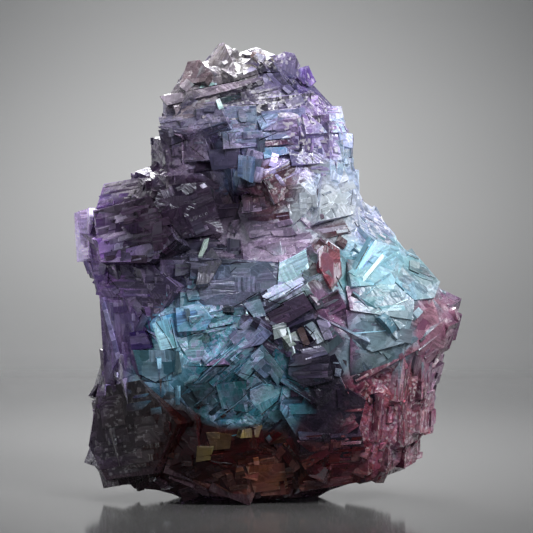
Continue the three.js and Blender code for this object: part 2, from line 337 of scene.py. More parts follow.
# Terraces of two kinds: broad steps that break up a face, and fine strips along it. Each has its facet area
# for one terrace, its least and most share of the facet's length and width, and its rises
STEPS = {"area": 18.0, "length": (0.2, 0.5), "width": (0.15, 0.5), "rises": (0.1, 0.16, 0.25, 0.4)}
STRIPS = {"area": 2.0, "length": (0.12, 0.5), "width": (0.02, 0.12), "rises": (0.03, 0.05, 0.08, 0.13)}


def terrace(facet, kind):
    """A low step on a facet, drawn in until it stays on the facet."""
    middle = facet.random_point()
    spread = facet.high - facet.low
    half = [spread[0] * rng.uniform(*kind["length"]), spread[1] * rng.uniform(*kind["width"])]
    flat = facet.flat(middle[:])[0]
    signs = np.array([[-1, -1], [-1, 1], [1, -1], [1, 1]])
    for _ in range(DRAWN_IN_ROUNDS):
        if facet.holds(flat + signs * half).all():
            break
        half = [size * kept for size, kept in zip(half, DRAWN_IN)]
    if min(half) < NARROWEST or max(half) < SHORTEST:
        return None
    rise = rng.choice(kind["rises"]) * rng.uniform(*RISE_RANGE)
    points = outline(*half, rng.choice(IRREGULARITIES))
    tops = sloped(points, rise, TERRACE_LEAN)
    axes = [facet.along, facet.across, facet.normal]
    return Shard(middle, axes, points, -TERRACE_ROOT, tops, facet.grain)


def terraces(facets, kind):
    made = []
    for facet in facets:
        if facet.area < LEAST_FACET or facet.normal.z < UNDERSIDE_NORMAL:
            continue
        count = facet.area * share_of(facet) * facet.busy / kind["area"]
        for _ in range(int(count + rng.random())):
            made.append(terrace(facet, kind))
    return [shard for shard in made if shard and within_box(shard)]


# Broken plates: the facet area for each, the least half length and how many times that the longest has,
# the width as a share of the length, the degrees of lean, how far it stands out, and its root, which is
# deeper the longer the plate is
SHINGLE = {
    "area": 90.0,
    "half": 0.8,
    "times": 4,
    "widths": (0.3, 0.9),
    "leans": (6, 12, 20),
    "irregular": (0.3, 1),
    "heights": (0.05, 0.4),
    "root": 0.8,
    "root_share": 0.35,
}


def shingle(facet):
    """A broken plate that stands a little out of a facet, and may reach past it."""
    half_along = SHINGLE["half"] * SHINGLE["times"] ** rng.random()
    half_across = half_along * rng.uniform(*SHINGLE["widths"])
    lean = rng.choice(SHINGLE["leans"])
    axes = spun([facet.along, facet.across, facet.normal], lean)
    points = outline(half_along, half_across, rng.uniform(*SHINGLE["irregular"]))
    height = rng.uniform(*SHINGLE["heights"])
    root = -SHINGLE["root"] - SHINGLE["root_share"] * half_along
    tops = sloped(points, height, lean / 2)
    return Shard(facet.random_point(), axes, points, root, tops, facet.grain)


def shingles(facets):
    made = []
    for facet in facets:
        count = facet.area * share_of(facet) * facet.busy / SHINGLE["area"]
        made += [shingle(facet) for _ in range(int(count + rng.random()))]
    return [shard for shard in made if within_box(shard)]


# Small crystals in valleys: the length of valley for each, the least share of them in a plain zone, the
# least half size and how many times that the largest has, and the ranges of their shapes
VALLEY = {
    "spacing": 12.0,
    "least_share": 0.2,
    "half": 0.4,
    "times": 3.5,
    "lengths": (0.6, 1.6),
    "widths": (0.5, 1.2),
    "depths": (0.3, 0.8),
    "turn": 10,
    "lean": 8,
}


def rims_of(solid, facet_of):
    """The edges between facets: their ends, the facets on both sides and whether the edge stands out."""
    found = []
    for edge in solid.edges:
        if len(edge.link_faces) != 2:
            continue
        one, other = (facet_of[face.index] for face in edge.link_faces)
        if one is not other:
            found.append((edge.verts[0].co, edge.verts[1].co, one, other, edge.is_convex))
    return found


def valley_crystals(rims):
    """Small crystals strung along the valleys between facets."""
    made = []
    for a, b, one, other, stands_out in rims:
        if stands_out or min(one.area, other.area) < LEAST_FACET:
            continue
        share = max(share_of(one), share_of(other)) * (VALLEY["least_share"] + one.busy)
        for _ in range(int((b - a).length * share / VALLEY["spacing"] + rng.random())):
            facet = rng.choice((one, other))
            axes = spun([facet.along, facet.across, facet.normal], VALLEY["turn"])
            half = VALLEY["half"] * VALLEY["times"] ** rng.random()
            sizes = [half * rng.uniform(*VALLEY[name]) for name in ("lengths", "widths")]
            points = outline(*sizes, rng.random())
            depth = half * rng.uniform(*VALLEY["depths"])
            tops = sloped(points, depth, VALLEY["lean"])
            made.append(Shard(a.lerp(b, rng.random()), axes, points, -depth, tops, facet.grain))
    return [shard for shard in made if within_box(shard)]


# Short cracks: the facet area for each, how low they come, their degrees from the crystal's direction and
# how far they sway from that, and their sizes
CRACK = {
    "area": 70.0,
    "lowest": 1.0,
    "turns": (0, 90, 45, 135),
    "sway": 6,
    "half_widths": (0.03, 0.08),
    "half_lengths": (0.5, 2.2),
    "depth": 0.8,
}
CUT_HEIGHT = 1.5  # how far a cutting blade stands out of the surface
MIDDLE_GRAIN = 0.5


def cleft(middle, axes, half_length, half_width, depth):
    """A thin blade that is cut from the mass to leave a crack."""
    points = [(-half_length, -half_width), (half_length, -half_width)]
    points += [(half_length, half_width), (-half_length, half_width)]
    return Shard(middle, axes, points, -depth, [CUT_HEIGHT] * len(points), MIDDLE_GRAIN)


def cracks(facets):
    """Short cracks along and across the crystals, whose faces are later painted near black as shade."""
    made = []
    for facet in facets:
        for _ in range(int(facet.area * share_of(facet) * facet.busy / CRACK["area"] + rng.random())):
            turn_by = math.radians(rng.choice(CRACK["turns"]) + rng.uniform(-CRACK["sway"], CRACK["sway"]))
            along = facet.along * math.cos(turn_by) + facet.across * math.sin(turn_by)
            axes = [along, facet.normal.cross(along), facet.normal]
            half_width = rng.uniform(*CRACK["half_widths"])
            place = facet.random_point()
            made.append(cleft(place, axes, rng.uniform(*CRACK["half_lengths"]), half_width, CRACK["depth"]))
    return [shard for shard in made if shard.middle.z > CRACK["lowest"]]


# Facets and cracks that the photograph shows, by its pixels

# Broad facets: each one's colour and its corners, with the crystal's lines along the first side
BROAD_FACETS = {
    "neck left": ("403449", ((160, 186), (205, 182), (232, 200), (228, 232), (176, 240), (150, 214))),
    "neck hollow": ("352a36", ((200, 188), (236, 186), (244, 214), (226, 236), (198, 226))),
    "neck right": ("5d4450", ((244, 190), (300, 184), (318, 200), (286, 232), (250, 238), (238, 214))),
    "shoulder low": ("524a66", ((92, 262), (150, 264), (176, 286), (150, 322), (104, 318))),
    "shoulder top": ("c4bac8", ((104, 184), (150, 176), (152, 196), (96, 208))),
    "left slab": ("7c6aa2", ((104, 388), (100, 300), (128, 300), (146, 330), (140, 384))),
    "foot left": ("2c0f0e", ((150, 474), (196, 458), (236, 470), (232, 498), (134, 488))),
    "foot middle": ("481a18", ((196, 458), (262, 446), (300, 460), (290, 494), (236, 498))),
    "foot right": ("451f29", ((300, 440), (362, 436), (372, 480), (300, 492))),
    "slate": ("2e2636", ((284, 386), (340, 384), (366, 400), (356, 438), (300, 442), (280, 410))),
    "slate left": ("362a34", ((262, 416), (284, 396), (300, 440), (262, 446))),
    "pink face": ("a28aaa", ((242, 246), (300, 222), (318, 234), (306, 250), (280, 262), (244, 262))),
    "centre dark": ("565468", ((284, 340), (330, 344), (344, 372), (330, 392), (290, 380))),
    "stack high": ("74708a", ((168, 104), (216, 96), (226, 120), (186, 134), (160, 128))),
    "stack left": ("645c78", ((158, 130), (200, 128), (210, 160), (166, 164))),
    "stack middle": ("7884a4", ((216, 112), (256, 108), (258, 134), (220, 138))),
    "stack right": ("a48ac8", ((300, 104), (342, 106), (346, 132), (306, 134))),
    "stack right low": ("a898d2", ((300, 136), (338, 134), (342, 160), (304, 160))),
}
# Broad facets that cover what lies behind them
PLAIN_FACETS = {
    "shade": ("463e50", ((290, 354), (328, 352), (334, 380), (304, 388), (288, 374))),
    "shoulder": ("3a2a40", ((92, 210), (150, 196), (176, 240), (150, 262), (100, 262))),
    "rough face": ("403a3c", ((98, 388), (140, 380), (178, 424), (152, 474), (106, 480), (88, 446))),
    "rough side": ("362d32", ((140, 382), (170, 384), (196, 420), (200, 456), (154, 472), (176, 426))),
}
# Broad facets of the frosted swell and dome, a little sunk
SMOOTH_FACETS = {
    "rose knob": ("5c1c2c", ((320, 268), (317, 250), (328, 240), (340, 248), (342, 276), (332, 290))),
    "dome ridge": ("a4b2e2", ((356, 196), (374, 208), (396, 236), (398, 246), (378, 244), (360, 228))),
    "dome face": ("8cc6de", ((346, 256), (372, 240), (398, 247), (404, 262), (394, 284), (352, 286))),
    "dome right": ("8fb2ba", ((399, 247), (418, 256), (440, 282), (434, 298), (414, 300), (396, 282))),
    "dome band": ("98cce2", ((346, 286), (394, 284), (414, 300), (412, 320), (350, 310))),
    "dome low": ("7ea6bc", ((346, 310), (412, 320), (404, 343), (372, 352), (350, 338))),
    "dome foot": ("8a98b0", ((350, 338), (404, 343), (392, 362), (350, 376))),
    "swell": ("d2def6", ((322, 176), (350, 166), (360, 186), (354, 214), (318, 222))),
    "swell low": ("c8ccde", ((300, 218), (340, 212), (350, 232), (322, 240))),
}
# Smaller facets on them, in the same form
DETAILS = {
    "slab": ("7a86a2", ((222, 264), (278, 261), (277, 284), (258, 294), (236, 306), (200, 304), (198, 284))),
    "grey spear": ("64646f", ((196, 285), (200, 262), (212, 248), (222, 262), (208, 284))),
    "under ledge": ("57435e", ((283, 303), (304, 293), (313, 308), (290, 322), (272, 324), (268, 314))),
    "blue blade": ("8fa8c0", ((243, 304), (260, 299), (266, 316), (254, 318))),
    "olive face": ("7c8a8c", ((272, 326), (286, 322), (286, 336), (274, 340))),
    "window": ("27303e", ((223, 307), (234, 307), (234, 313), (223, 313))),
    "lens": ("2b2a38", ((214, 316), (232, 320), (226, 326), (214, 320))),
    "violet slab": ("68509a", ((130, 332), (145, 330), (152, 348), (132, 350))),
    "teal cube": ("689ab4", ((134, 350), (172, 350), (173, 372), (156, 382), (140, 374))),
    "cube side": ("55707c", ((173, 376), (173, 350), (179, 352), (182, 372))),
    "tile": ("a0d0e6", ((176, 338), (200, 336), (206, 352), (198, 364), (190, 362))),
    "leaf": ("4f8088", ((197, 339), (206, 334), (214, 339), (206, 343))),
    "pink wedge": ("c2a6dc", ((206, 366), (214, 360), (224, 358), (226, 364))),
    "chevron purple": ("6c7896", ((228, 336), (250, 318), (272, 334), (262, 344), (238, 350))),
    "chevron left": ("5c8ea0", ((236, 374), (262, 344), (264, 356), (246, 380))),
    "chevron right": ("54808f", ((262, 344), (284, 372), (278, 386), (260, 360))),
    "drape": ("42788a", ((222, 408), (216, 384), (246, 380), (248, 412))),
    "bright teal": ("5ca0b2", ((250, 390), (262, 384), (284, 386), (276, 402), (262, 413), (250, 404))),
    "teal fold": ("3c5c68", ((186, 384), (214, 382), (216, 398), (206, 404))),
    "ochre left": ("5c5030", ((197, 446), (214, 446), (210, 460), (196, 462))),
    "ochre low": ("54402a", ((206, 432), (232, 434), (230, 448), (212, 450))),
    # painted glow: warm patches that stand in for light shining through the foot
    "glow": ("805040", ((246, 466), (284, 462), (288, 488), (254, 492))),
    "glow left": ("54342c", ((226, 474), (244, 470), (248, 488), (230, 490))),
    "tilted plate": (
        "a89aac",
        ((160, 97), (238, 86), (262, 77), (262, 80), (236, 89), (196, 97), (168, 106)),
    ),
    "teal chip": ("a4dcd4", ((196, 94), (203, 82), (218, 84), (213, 89))),
    "left prism": ("a48e98", ((188, 62), (200, 60), (211, 72), (205, 82), (180, 86))),
    "tip prism": ("a89ea2", ((208, 64), (219, 45), (224, 43), (236, 68), (226, 78))),
    "cream face": ("b09884", ((252, 52), (264, 52), (266, 59), (256, 57))),
    "lavender prism": ("8a7ea8", ((272, 72), (276, 56), (284, 52), (294, 54), (300, 66), (292, 80))),
    "violet prism": ("9a80d4", ((300, 84), (300, 68), (308, 66), (316, 82), (308, 88))),
    "framed face": ("6a6a80", ((204, 106), (216, 106), (214, 112), (204, 112))),
    "blue bar": ("a4aedc", ((258, 136), (286, 134), (290, 138), (258, 141))),
    "rose bar": ("84607c", ((258, 142), (286, 139), (290, 144), (258, 147))),
    "stack foot": ("9a92c8", ((288, 149), (322, 146), (324, 163), (292, 166))),
    "stack foot left": ("5e5878", ((208, 150), (240, 148), (238, 168), (212, 170))),
    "blue stub": ("6c88b8", ((238, 176), (239, 155), (254, 157), (250, 182))),
    "slab line": ("b8acec", ((101, 298), (104, 297), (121, 357), (117, 360))),
}
# Facets whose colours are not toned down, so they come out brighter, in the same form: the crystal's own
# pale, cyan and brown faces, with painted reflections on the ledges and cleaved faces, painted highlights
# along the ledges' edges, painted glints and painted rim light on the shoulder edge
UNTONED_AND_PAINTED_HIGHLIGHTS = {
    # painted rim light: the left edge painted pale lavender where light falls on it
    "shoulder edge painted rim light": ("e0ccff", ((78, 262), (75, 213), (90, 208), (90, 258))),
    "ochre face": ("7a6840", ((242, 430), (262, 425), (258, 437), (240, 438))),
    "slab top": ("a6bccc", ((222, 265), (270, 262), (270, 268), (226, 272))),
    "pale edge": ("7c8e8a", ((196, 262), (204, 240), (209, 238), (207, 248), (199, 262))),
    # painted reflections: the ledges' pale cyan faces, brightened for light reflected inside the crystal
    "ledge face": ("c4f0ff", ((279, 263), (306, 250), (309, 268), (286, 284), (277, 282))),
    "ledge upper": ("c0d0f8", ((266, 287), (300, 267), (305, 273), (268, 293))),
    "ledge lower": ("b0c0e0", ((262, 295), (302, 276), (305, 281), (264, 300))),
    "rose face": ("6e3444", ((319, 268), (318, 252), (328, 242), (339, 250), (341, 274), (331, 288))),
    # painted highlights: thin bright lines along the ledges' lit edges
    "ledge line": ("d4f0fc", ((266, 293), (304, 273), (305, 275), (267, 295))),
    "ledge line low": ("ccdef6", ((268, 300), (303, 282), (304, 284), (269, 302))),
    "white blade": ("c4d4e6", ((304, 325), (312, 320), (324, 341), (318, 344))),
    "lilac blade": ("9088a8", ((316, 318), (328, 322), (332, 338), (325, 340))),
    "olive blade": ("7e8a86", ((282, 338), (296, 331), (303, 341), (290, 348))),
    "brown blade": ("4c3c3c", ((297, 330), (303, 326), (310, 344), (304, 347))),
    "blade foot": ("62607a", ((300, 350), (322, 345), (328, 354), (306, 360))),
    "sliver": ("b4ccd0", ((286, 328), (288, 328), (295, 353), (294, 354))),
    "frosted block": ("70a6cc", ((176, 308), (200, 303), (212, 318), (205, 330), (178, 332))),
    # painted reflections: the cleaved faces' bright cyan, partly the crystal's own colour and partly light
    # reflected inside it
    "cleaved face": ("98e0ff", ((161, 350), (152, 323), (170, 318), (178, 347))),
    "cleaved side": ("9ca8f0", ((163, 348), (147, 330), (155, 333), (165, 349))),
    # painted glints: near-white spots of reflected light
    "glint high": ("f2f0ee", ((224, 44), (230, 47), (228, 52), (225, 49))),
    "glint middle": ("f6f4f2", ((234, 62), (241, 66), (239, 75), (234, 68))),
    "glint left": ("f0eef0", ((177, 84), (183, 79), (181, 84))),
    "blue window": ("6c86a8", ((256, 118), (264, 114), (278, 114), (276, 122), (262, 130))),
    "lilac window": ("8480ac", ((262, 126), (278, 117), (276, 130), (264, 131))),
    "low bar": ("7094c4", ((262, 148), (284, 147), (296, 152), (264, 159))),
    "right end": ("b4c8ea", ((338, 132), (352, 134), (352, 148), (340, 146))),
}
# Thin rays that fan out over the dome: where they start, their angles in degrees and how far they reach
FAN = {
    "from": (318, 336),
    "angles": (-4, 62),
    "reach": (34, 112),
    "least_length": 14,
    "count": 10,
    "width": (0.4, 1.1),
}
FAN_COLOURS = ("c0eef8", "8cc8de", "a0d4e8", "d0f0f8", "84bcd6", "a4b2dc")
# Dark cracks, each a line through some pixels
CLEFTS = [
    ((259, 292), (263, 298), (280, 304), (304, 291), (313, 306), (317, 312)),
    ((279, 261), (277, 284)),
    ((286, 293), (302, 283)),
    ((266, 314), (284, 304)),
    ((234, 307), (247, 299), (257, 293)),
    ((156, 322), (166, 336), (174, 352)),
    ((170, 320), (176, 346)),
    ((145, 331), (158, 338)),
    ((287, 378), (316, 389)),
    ((262, 414), (269, 408), (278, 401)),
    ((187, 366), (208, 367), (229, 366)),
    ((140, 375), (156, 383), (172, 380)),
    ((184, 337), (196, 333)),
    ((188, 91), (236, 81), (262, 73), (280, 72)),
    ((170, 146), (186, 140)),
    ((258, 141), (276, 133)),
    ((299, 343), (319, 350)),
    ((336, 276), (344, 292)),
    ((222, 264), (240, 264)),
]
# Kinds of facets: how far they stand out and reach in, and which share in percent of the places that were
# looked at lies behind them
BROAD = {"lift": 0.0, "root": 6.0, "bared": 75}
PLAIN = {"lift": 0.0, "root": 7.0, "bared": 100}
SMOOTH = {"lift": 0.0, "root": 5.0, "bared": 86}
DETAIL = {"lift": 0.2, "root": 1.5, "bared": 85}
RAY = {"lift": 0.06, "root": 1.0, "bared": 60}
STEEPEST = 0.8  # how much deeper such a facet may get along a millimetre of the photograph
LEAST_PLACES = 4
LIFT_RANGE = (0.6, 1.6)
SEEN_LEAN = 1.5
SEEN_SPARE = 1.0  # how far such a facet may reach out of the CAD model's box
# Seen cracks: the pixels that each straight part spans, how far the parts overlap, their sizes and colour, a
# near-black painted shade inside the cracks
CLEFT = {"step": 8.0, "overlap": 0.1, "half_widths": (0.06, 0.12), "depth": 0.9, "colour": "120a10"}


def ray_through(column, row):
    """The direction from the camera through a pixel of the photograph."""
    return (at_pixel(column, row) - CAMERA).normalized()


def seen_at(tree, column, row):
    """The place on the mass that a pixel of the photograph shows, if it shows any."""
    return tree.ray_cast(CAMERA, ray_through(column, row))[0]


def seen_plane(tree, corners):
    """The plane of a facet that is seen between some pixels, as its depth at x = z = 0 and its two slopes,
    and how deep it lies under each place that was looked at."""
    ahead = corners[1:] + corners[:1]
    sides = [((a + c) / 2, (b + d) / 2) for (a, b), (c, d) in zip(corners, ahead)]
    middle = tuple(np.mean(corners, axis=0))
    within = [((a + middle[0]) / 2, (b + middle[1]) / 2) for a, b in (*corners, *sides)]
    found = [seen_at(tree, *pixel) for pixel in (*corners, *sides, *within, middle)]
    hits = np.array([hit[:] for hit in found if hit])
    if len(hits) < LEAST_PLACES:
        return None
    grid = np.c_[np.ones(len(hits)), hits[:, 0], hits[:, 2]]
    plane = np.linalg.lstsq(grid, hits[:, 1], rcond=None)[0]
    plane[1:] = np.clip(plane[1:], -STEEPEST, STEEPEST)
    return plane, grid @ plane - hits[:, 1]


def seen_facet(tree, corners, kind):
    """A shard whose top is a flat facet between some pixels of the photograph."""
    fitted = seen_plane(tree, corners)
    if fitted is None:
        return None
    (depth, slope_x, slope_z), buried = fitted
    depth -= np.percentile(buried, kind["bared"])
    places = []
    for pixel in corners:
        ray = ray_through(*pixel)
        reach = depth + slope_x * CAMERA.x + slope_z * CAMERA.z - CAMERA.y
        places.append(CAMERA + ray * (reach / (ray.y - slope_x * ray.x - slope_z * ray.z)))
    up = Vector((slope_x, -1, slope_z)).normalized()
    along = (places[1] - places[0]).normalized()
    across = up.cross(along)
    middle = sum(places, Vector()) / len(places)
    points = hull([((p - middle).dot(along), (p - middle).dot(across)) for p in places])
    tops = sloped(points, kind["lift"] * rng.uniform(*LIFT_RANGE), SEEN_LEAN)
    made = Shard(middle, [along, across, up], points, -kind["root"], tops, MIDDLE_GRAIN)
    for corner in made.corners():
        corner.z = max(corner.z, FILL_LOWEST)
    return made


def seen_facets(tree, table, kind):
    """The shards of a table of facets, with each one's colour."""
    made = [(seen_facet(tree, corners, kind), colour) for colour, corners in table.values()]
    return [(shard, colour) for shard, colour in made if shard and within_box(shard, SEEN_SPARE)]


def fan_facets():
    """The table of the dome's rays."""
    table = {}
    column, row = FAN["from"]
    near, far = FAN["reach"]
    for i in range(FAN["count"]):
        angle = math.radians(rng.uniform(*FAN["angles"]))
        start = rng.uniform(near, (near + far) / 2)
        end = rng.uniform(start + FAN["least_length"], far)
        across = rng.uniform(*FAN["width"])
        x, y = math.cos(angle), -math.sin(angle)
        ends = [(column + x * reach, row + y * reach) for reach in (start, end)]
        (a, b), (c, d) = ends
        corners = ((a, b), (c, d), (c - y * across, d + x * across), (a - y * across, b + x * across))
        table[f"ray {i}"] = (FAN_COLOURS[i % len(FAN_COLOURS)], corners)
    return table


def seen_clefts(tree):
    """Cracks along the lines that the photograph shows."""
    made = []
    for line in CLEFTS:
        for (a, b), (c, d) in zip(line, line[1:]):
            count = math.ceil(math.hypot(c - a, d - b) / CLEFT["step"])
            shares = [i / count for i in range(count + 1)]
            places = [seen_at(tree, a + (c - a) * s, b + (d - b) * s) for s in shares]
            for start, end in zip(places, places[1:]):
                if start and end:
                    made.append(seen_cleft(start, end))
    return made


def seen_cleft(start, end):
    """A straight part of a crack, cut away from the camera."""
    middle = (start + end) / 2
    along = (end - start).normalized()
    towards = (CAMERA - middle).normalized()
    across = towards.cross(along).normalized()
    axes = [along, across, along.cross(across)]
    half_length = (end - start).length / 2 + CLEFT["overlap"]
    return cleft(middle, axes, half_length, rng.uniform(*CLEFT["half_widths"]), CLEFT["depth"])


# Joining: shards that don't touch go in one mesh, and the meshes are joined to the mass in one boolean


def sorted_in_layers(shards):
    """The shards' numbers in layers, so that no two in a layer touch."""
    middles = np.array([s.middle[:] for s in shards])
    radii = np.array([s.radius for s in shards])
    layers = []
    for i in range(len(shards)):
        for layer in layers:
            apart = np.linalg.norm(middles[layer] - middles[i], axis=1) > radii[layer] + radii[i]
            if apart.all():
                layer.append(i)
                break
        else:
            layers.append([i])
    return layers


def mesh_of_shards(shards, first_number, numbers):
    """One mesh of the numbered shards, each face marked with its shard's number and as a side or not."""
    points, faces, marks, sides = [], [], [], []
    for i in numbers:
        start = len(points)
        points += [c * MM for c in shards[i].corners()]
        for face, side in shards[i].faces():
            faces.append([start + k for k in face])
            marks.append(first_number + i)
            sides.append(side)
    mesh = bpy.data.meshes.new("shards")
    mesh.from_pydata(points, [], faces)
    mark_faces(mesh, marks, sides)
    return mesh


MARKS = ("grain_number", "side")


def mark_faces(mesh, marks, sides):
    """Marks each face with its piece's number and as a side or not."""
    for name, values in zip(MARKS, (marks, sides)):
        layer = mesh.attributes.new(name, "INT", "FACE")
        layer.data.foreach_set("value", values)


def boolean_of(mesh, others, operation):
    """The mesh with other meshes joined to it or cut from it, in one boolean."""
    scene = bpy.context.scene
    body = bpy.data.objects.new("body", mesh)
    scene.collection.objects.link(body)
    operands = bpy.data.collections.new("operands")
    scene.collection.children.link(operands)
    for other in others:
        operands.objects.link(bpy.data.objects.new("operand", other))
    boolean = body.modifiers.new("boolean", "BOOLEAN")
    boolean.operation = operation
    boolean.solver = "MANIFOLD"
    boolean.operand_type = "COLLECTION"
    boolean.collection = operands
    evaluated = body.evaluated_get(bpy.context.evaluated_depsgraph_get())
    result = bpy.data.meshes.new_from_object(evaluated)
    for used in [*operands.objects, body]:
        bpy.data.objects.remove(used)
    bpy.data.collections.remove(operands)
    return result


def with_shards(mesh, shards, first_number, operation):
    """The mesh with shards joined to it or cut from it."""
    layers = sorted_in_layers(shards)
    return boolean_of(mesh, [mesh_of_shards(shards, first_number, n) for n in layers], operation)


def marked_mesh(solid, marks):
    """The solid as a mesh in metres, each face marked with its facet's number."""
    mesh = bpy.data.meshes.new("mass")
    copy = solid.copy()
    bmesh.ops.scale(copy, vec=(MM, MM, MM), verts=copy.verts)
    copy.to_mesh(mesh)
    copy.free()
    mark_faces(mesh, marks, [0] * len(marks))
    return mesh


FILL_VOXEL = 1.3
FILL_ROUNDS = 10  # of smoothing
FILL_RISES = (0.6, -0.5)  # in a plain zone, and in one busy with fine work
FILL_JITTER = 0.12
FILL_SHARE = 0.16  # of the remeshed triangles that are kept
FILL_LOWEST = 0.4


def filling(mesh):
    """What grew between the crystals: the mass rounded, swollen where it is plain, and in plain facets."""
    body = bpy.data.objects.new("filling", mesh.copy())
    bpy.context.scene.collection.objects.link(body)
    remesh = body.modifiers.new("remesh", "REMESH")
    remesh.mode = "VOXEL"
    remesh.voxel_size = FILL_VOXEL * MM
    smooth = body.modifiers.new("smooth", "SMOOTH")
    smooth.iterations = FILL_ROUNDS
    decimate = body.modifiers.new("decimate", "DECIMATE")
    decimate.ratio = FILL_SHARE
    evaluated = body.evaluated_get(bpy.context.evaluated_depsgraph_get())
    made = bpy.data.meshes.new_from_object(evaluated)
    bpy.data.objects.remove(body)
    points = []
    busy = zone_values(np.array([v.co[:] for v in made.vertices]) / MM)[:, BUSY]
    plain, fine = FILL_RISES
    for vertex, share in zip(made.vertices, busy):
        jitter = Vector([rng.uniform(-1, 1) for _ in range(3)]) * FILL_JITTER
        point = vertex.co / MM + vertex.normal * (plain + (fine - plain) * share) + jitter
        point.z = max(point.z, FILL_LOWEST)
        points += list(point * MM)
    made.vertices.foreach_set("co", points)
    for name in MARKS:
        if name in made.attributes:
            made.attributes.remove(made.attributes[name])
    mark_faces(made, [FILLING] * len(made.polygons), [0] * len(made.polygons))
    return made


def triangles_of(mesh):
    """A mesh as triangles in millimetres, with each one's mark."""
    solid = bmesh.new()
    solid.from_mesh(mesh)
    bmesh.ops.triangulate(solid, faces=solid.faces)
    bmesh.ops.scale(solid, vec=(1 / MM, 1 / MM, 1 / MM), verts=solid.verts)
    solid.normal_update()
    solid.faces.ensure_lookup_table()
    layer = solid.faces.layers.int["grain_number"]
    return solid, [face[layer] for face in solid.faces]


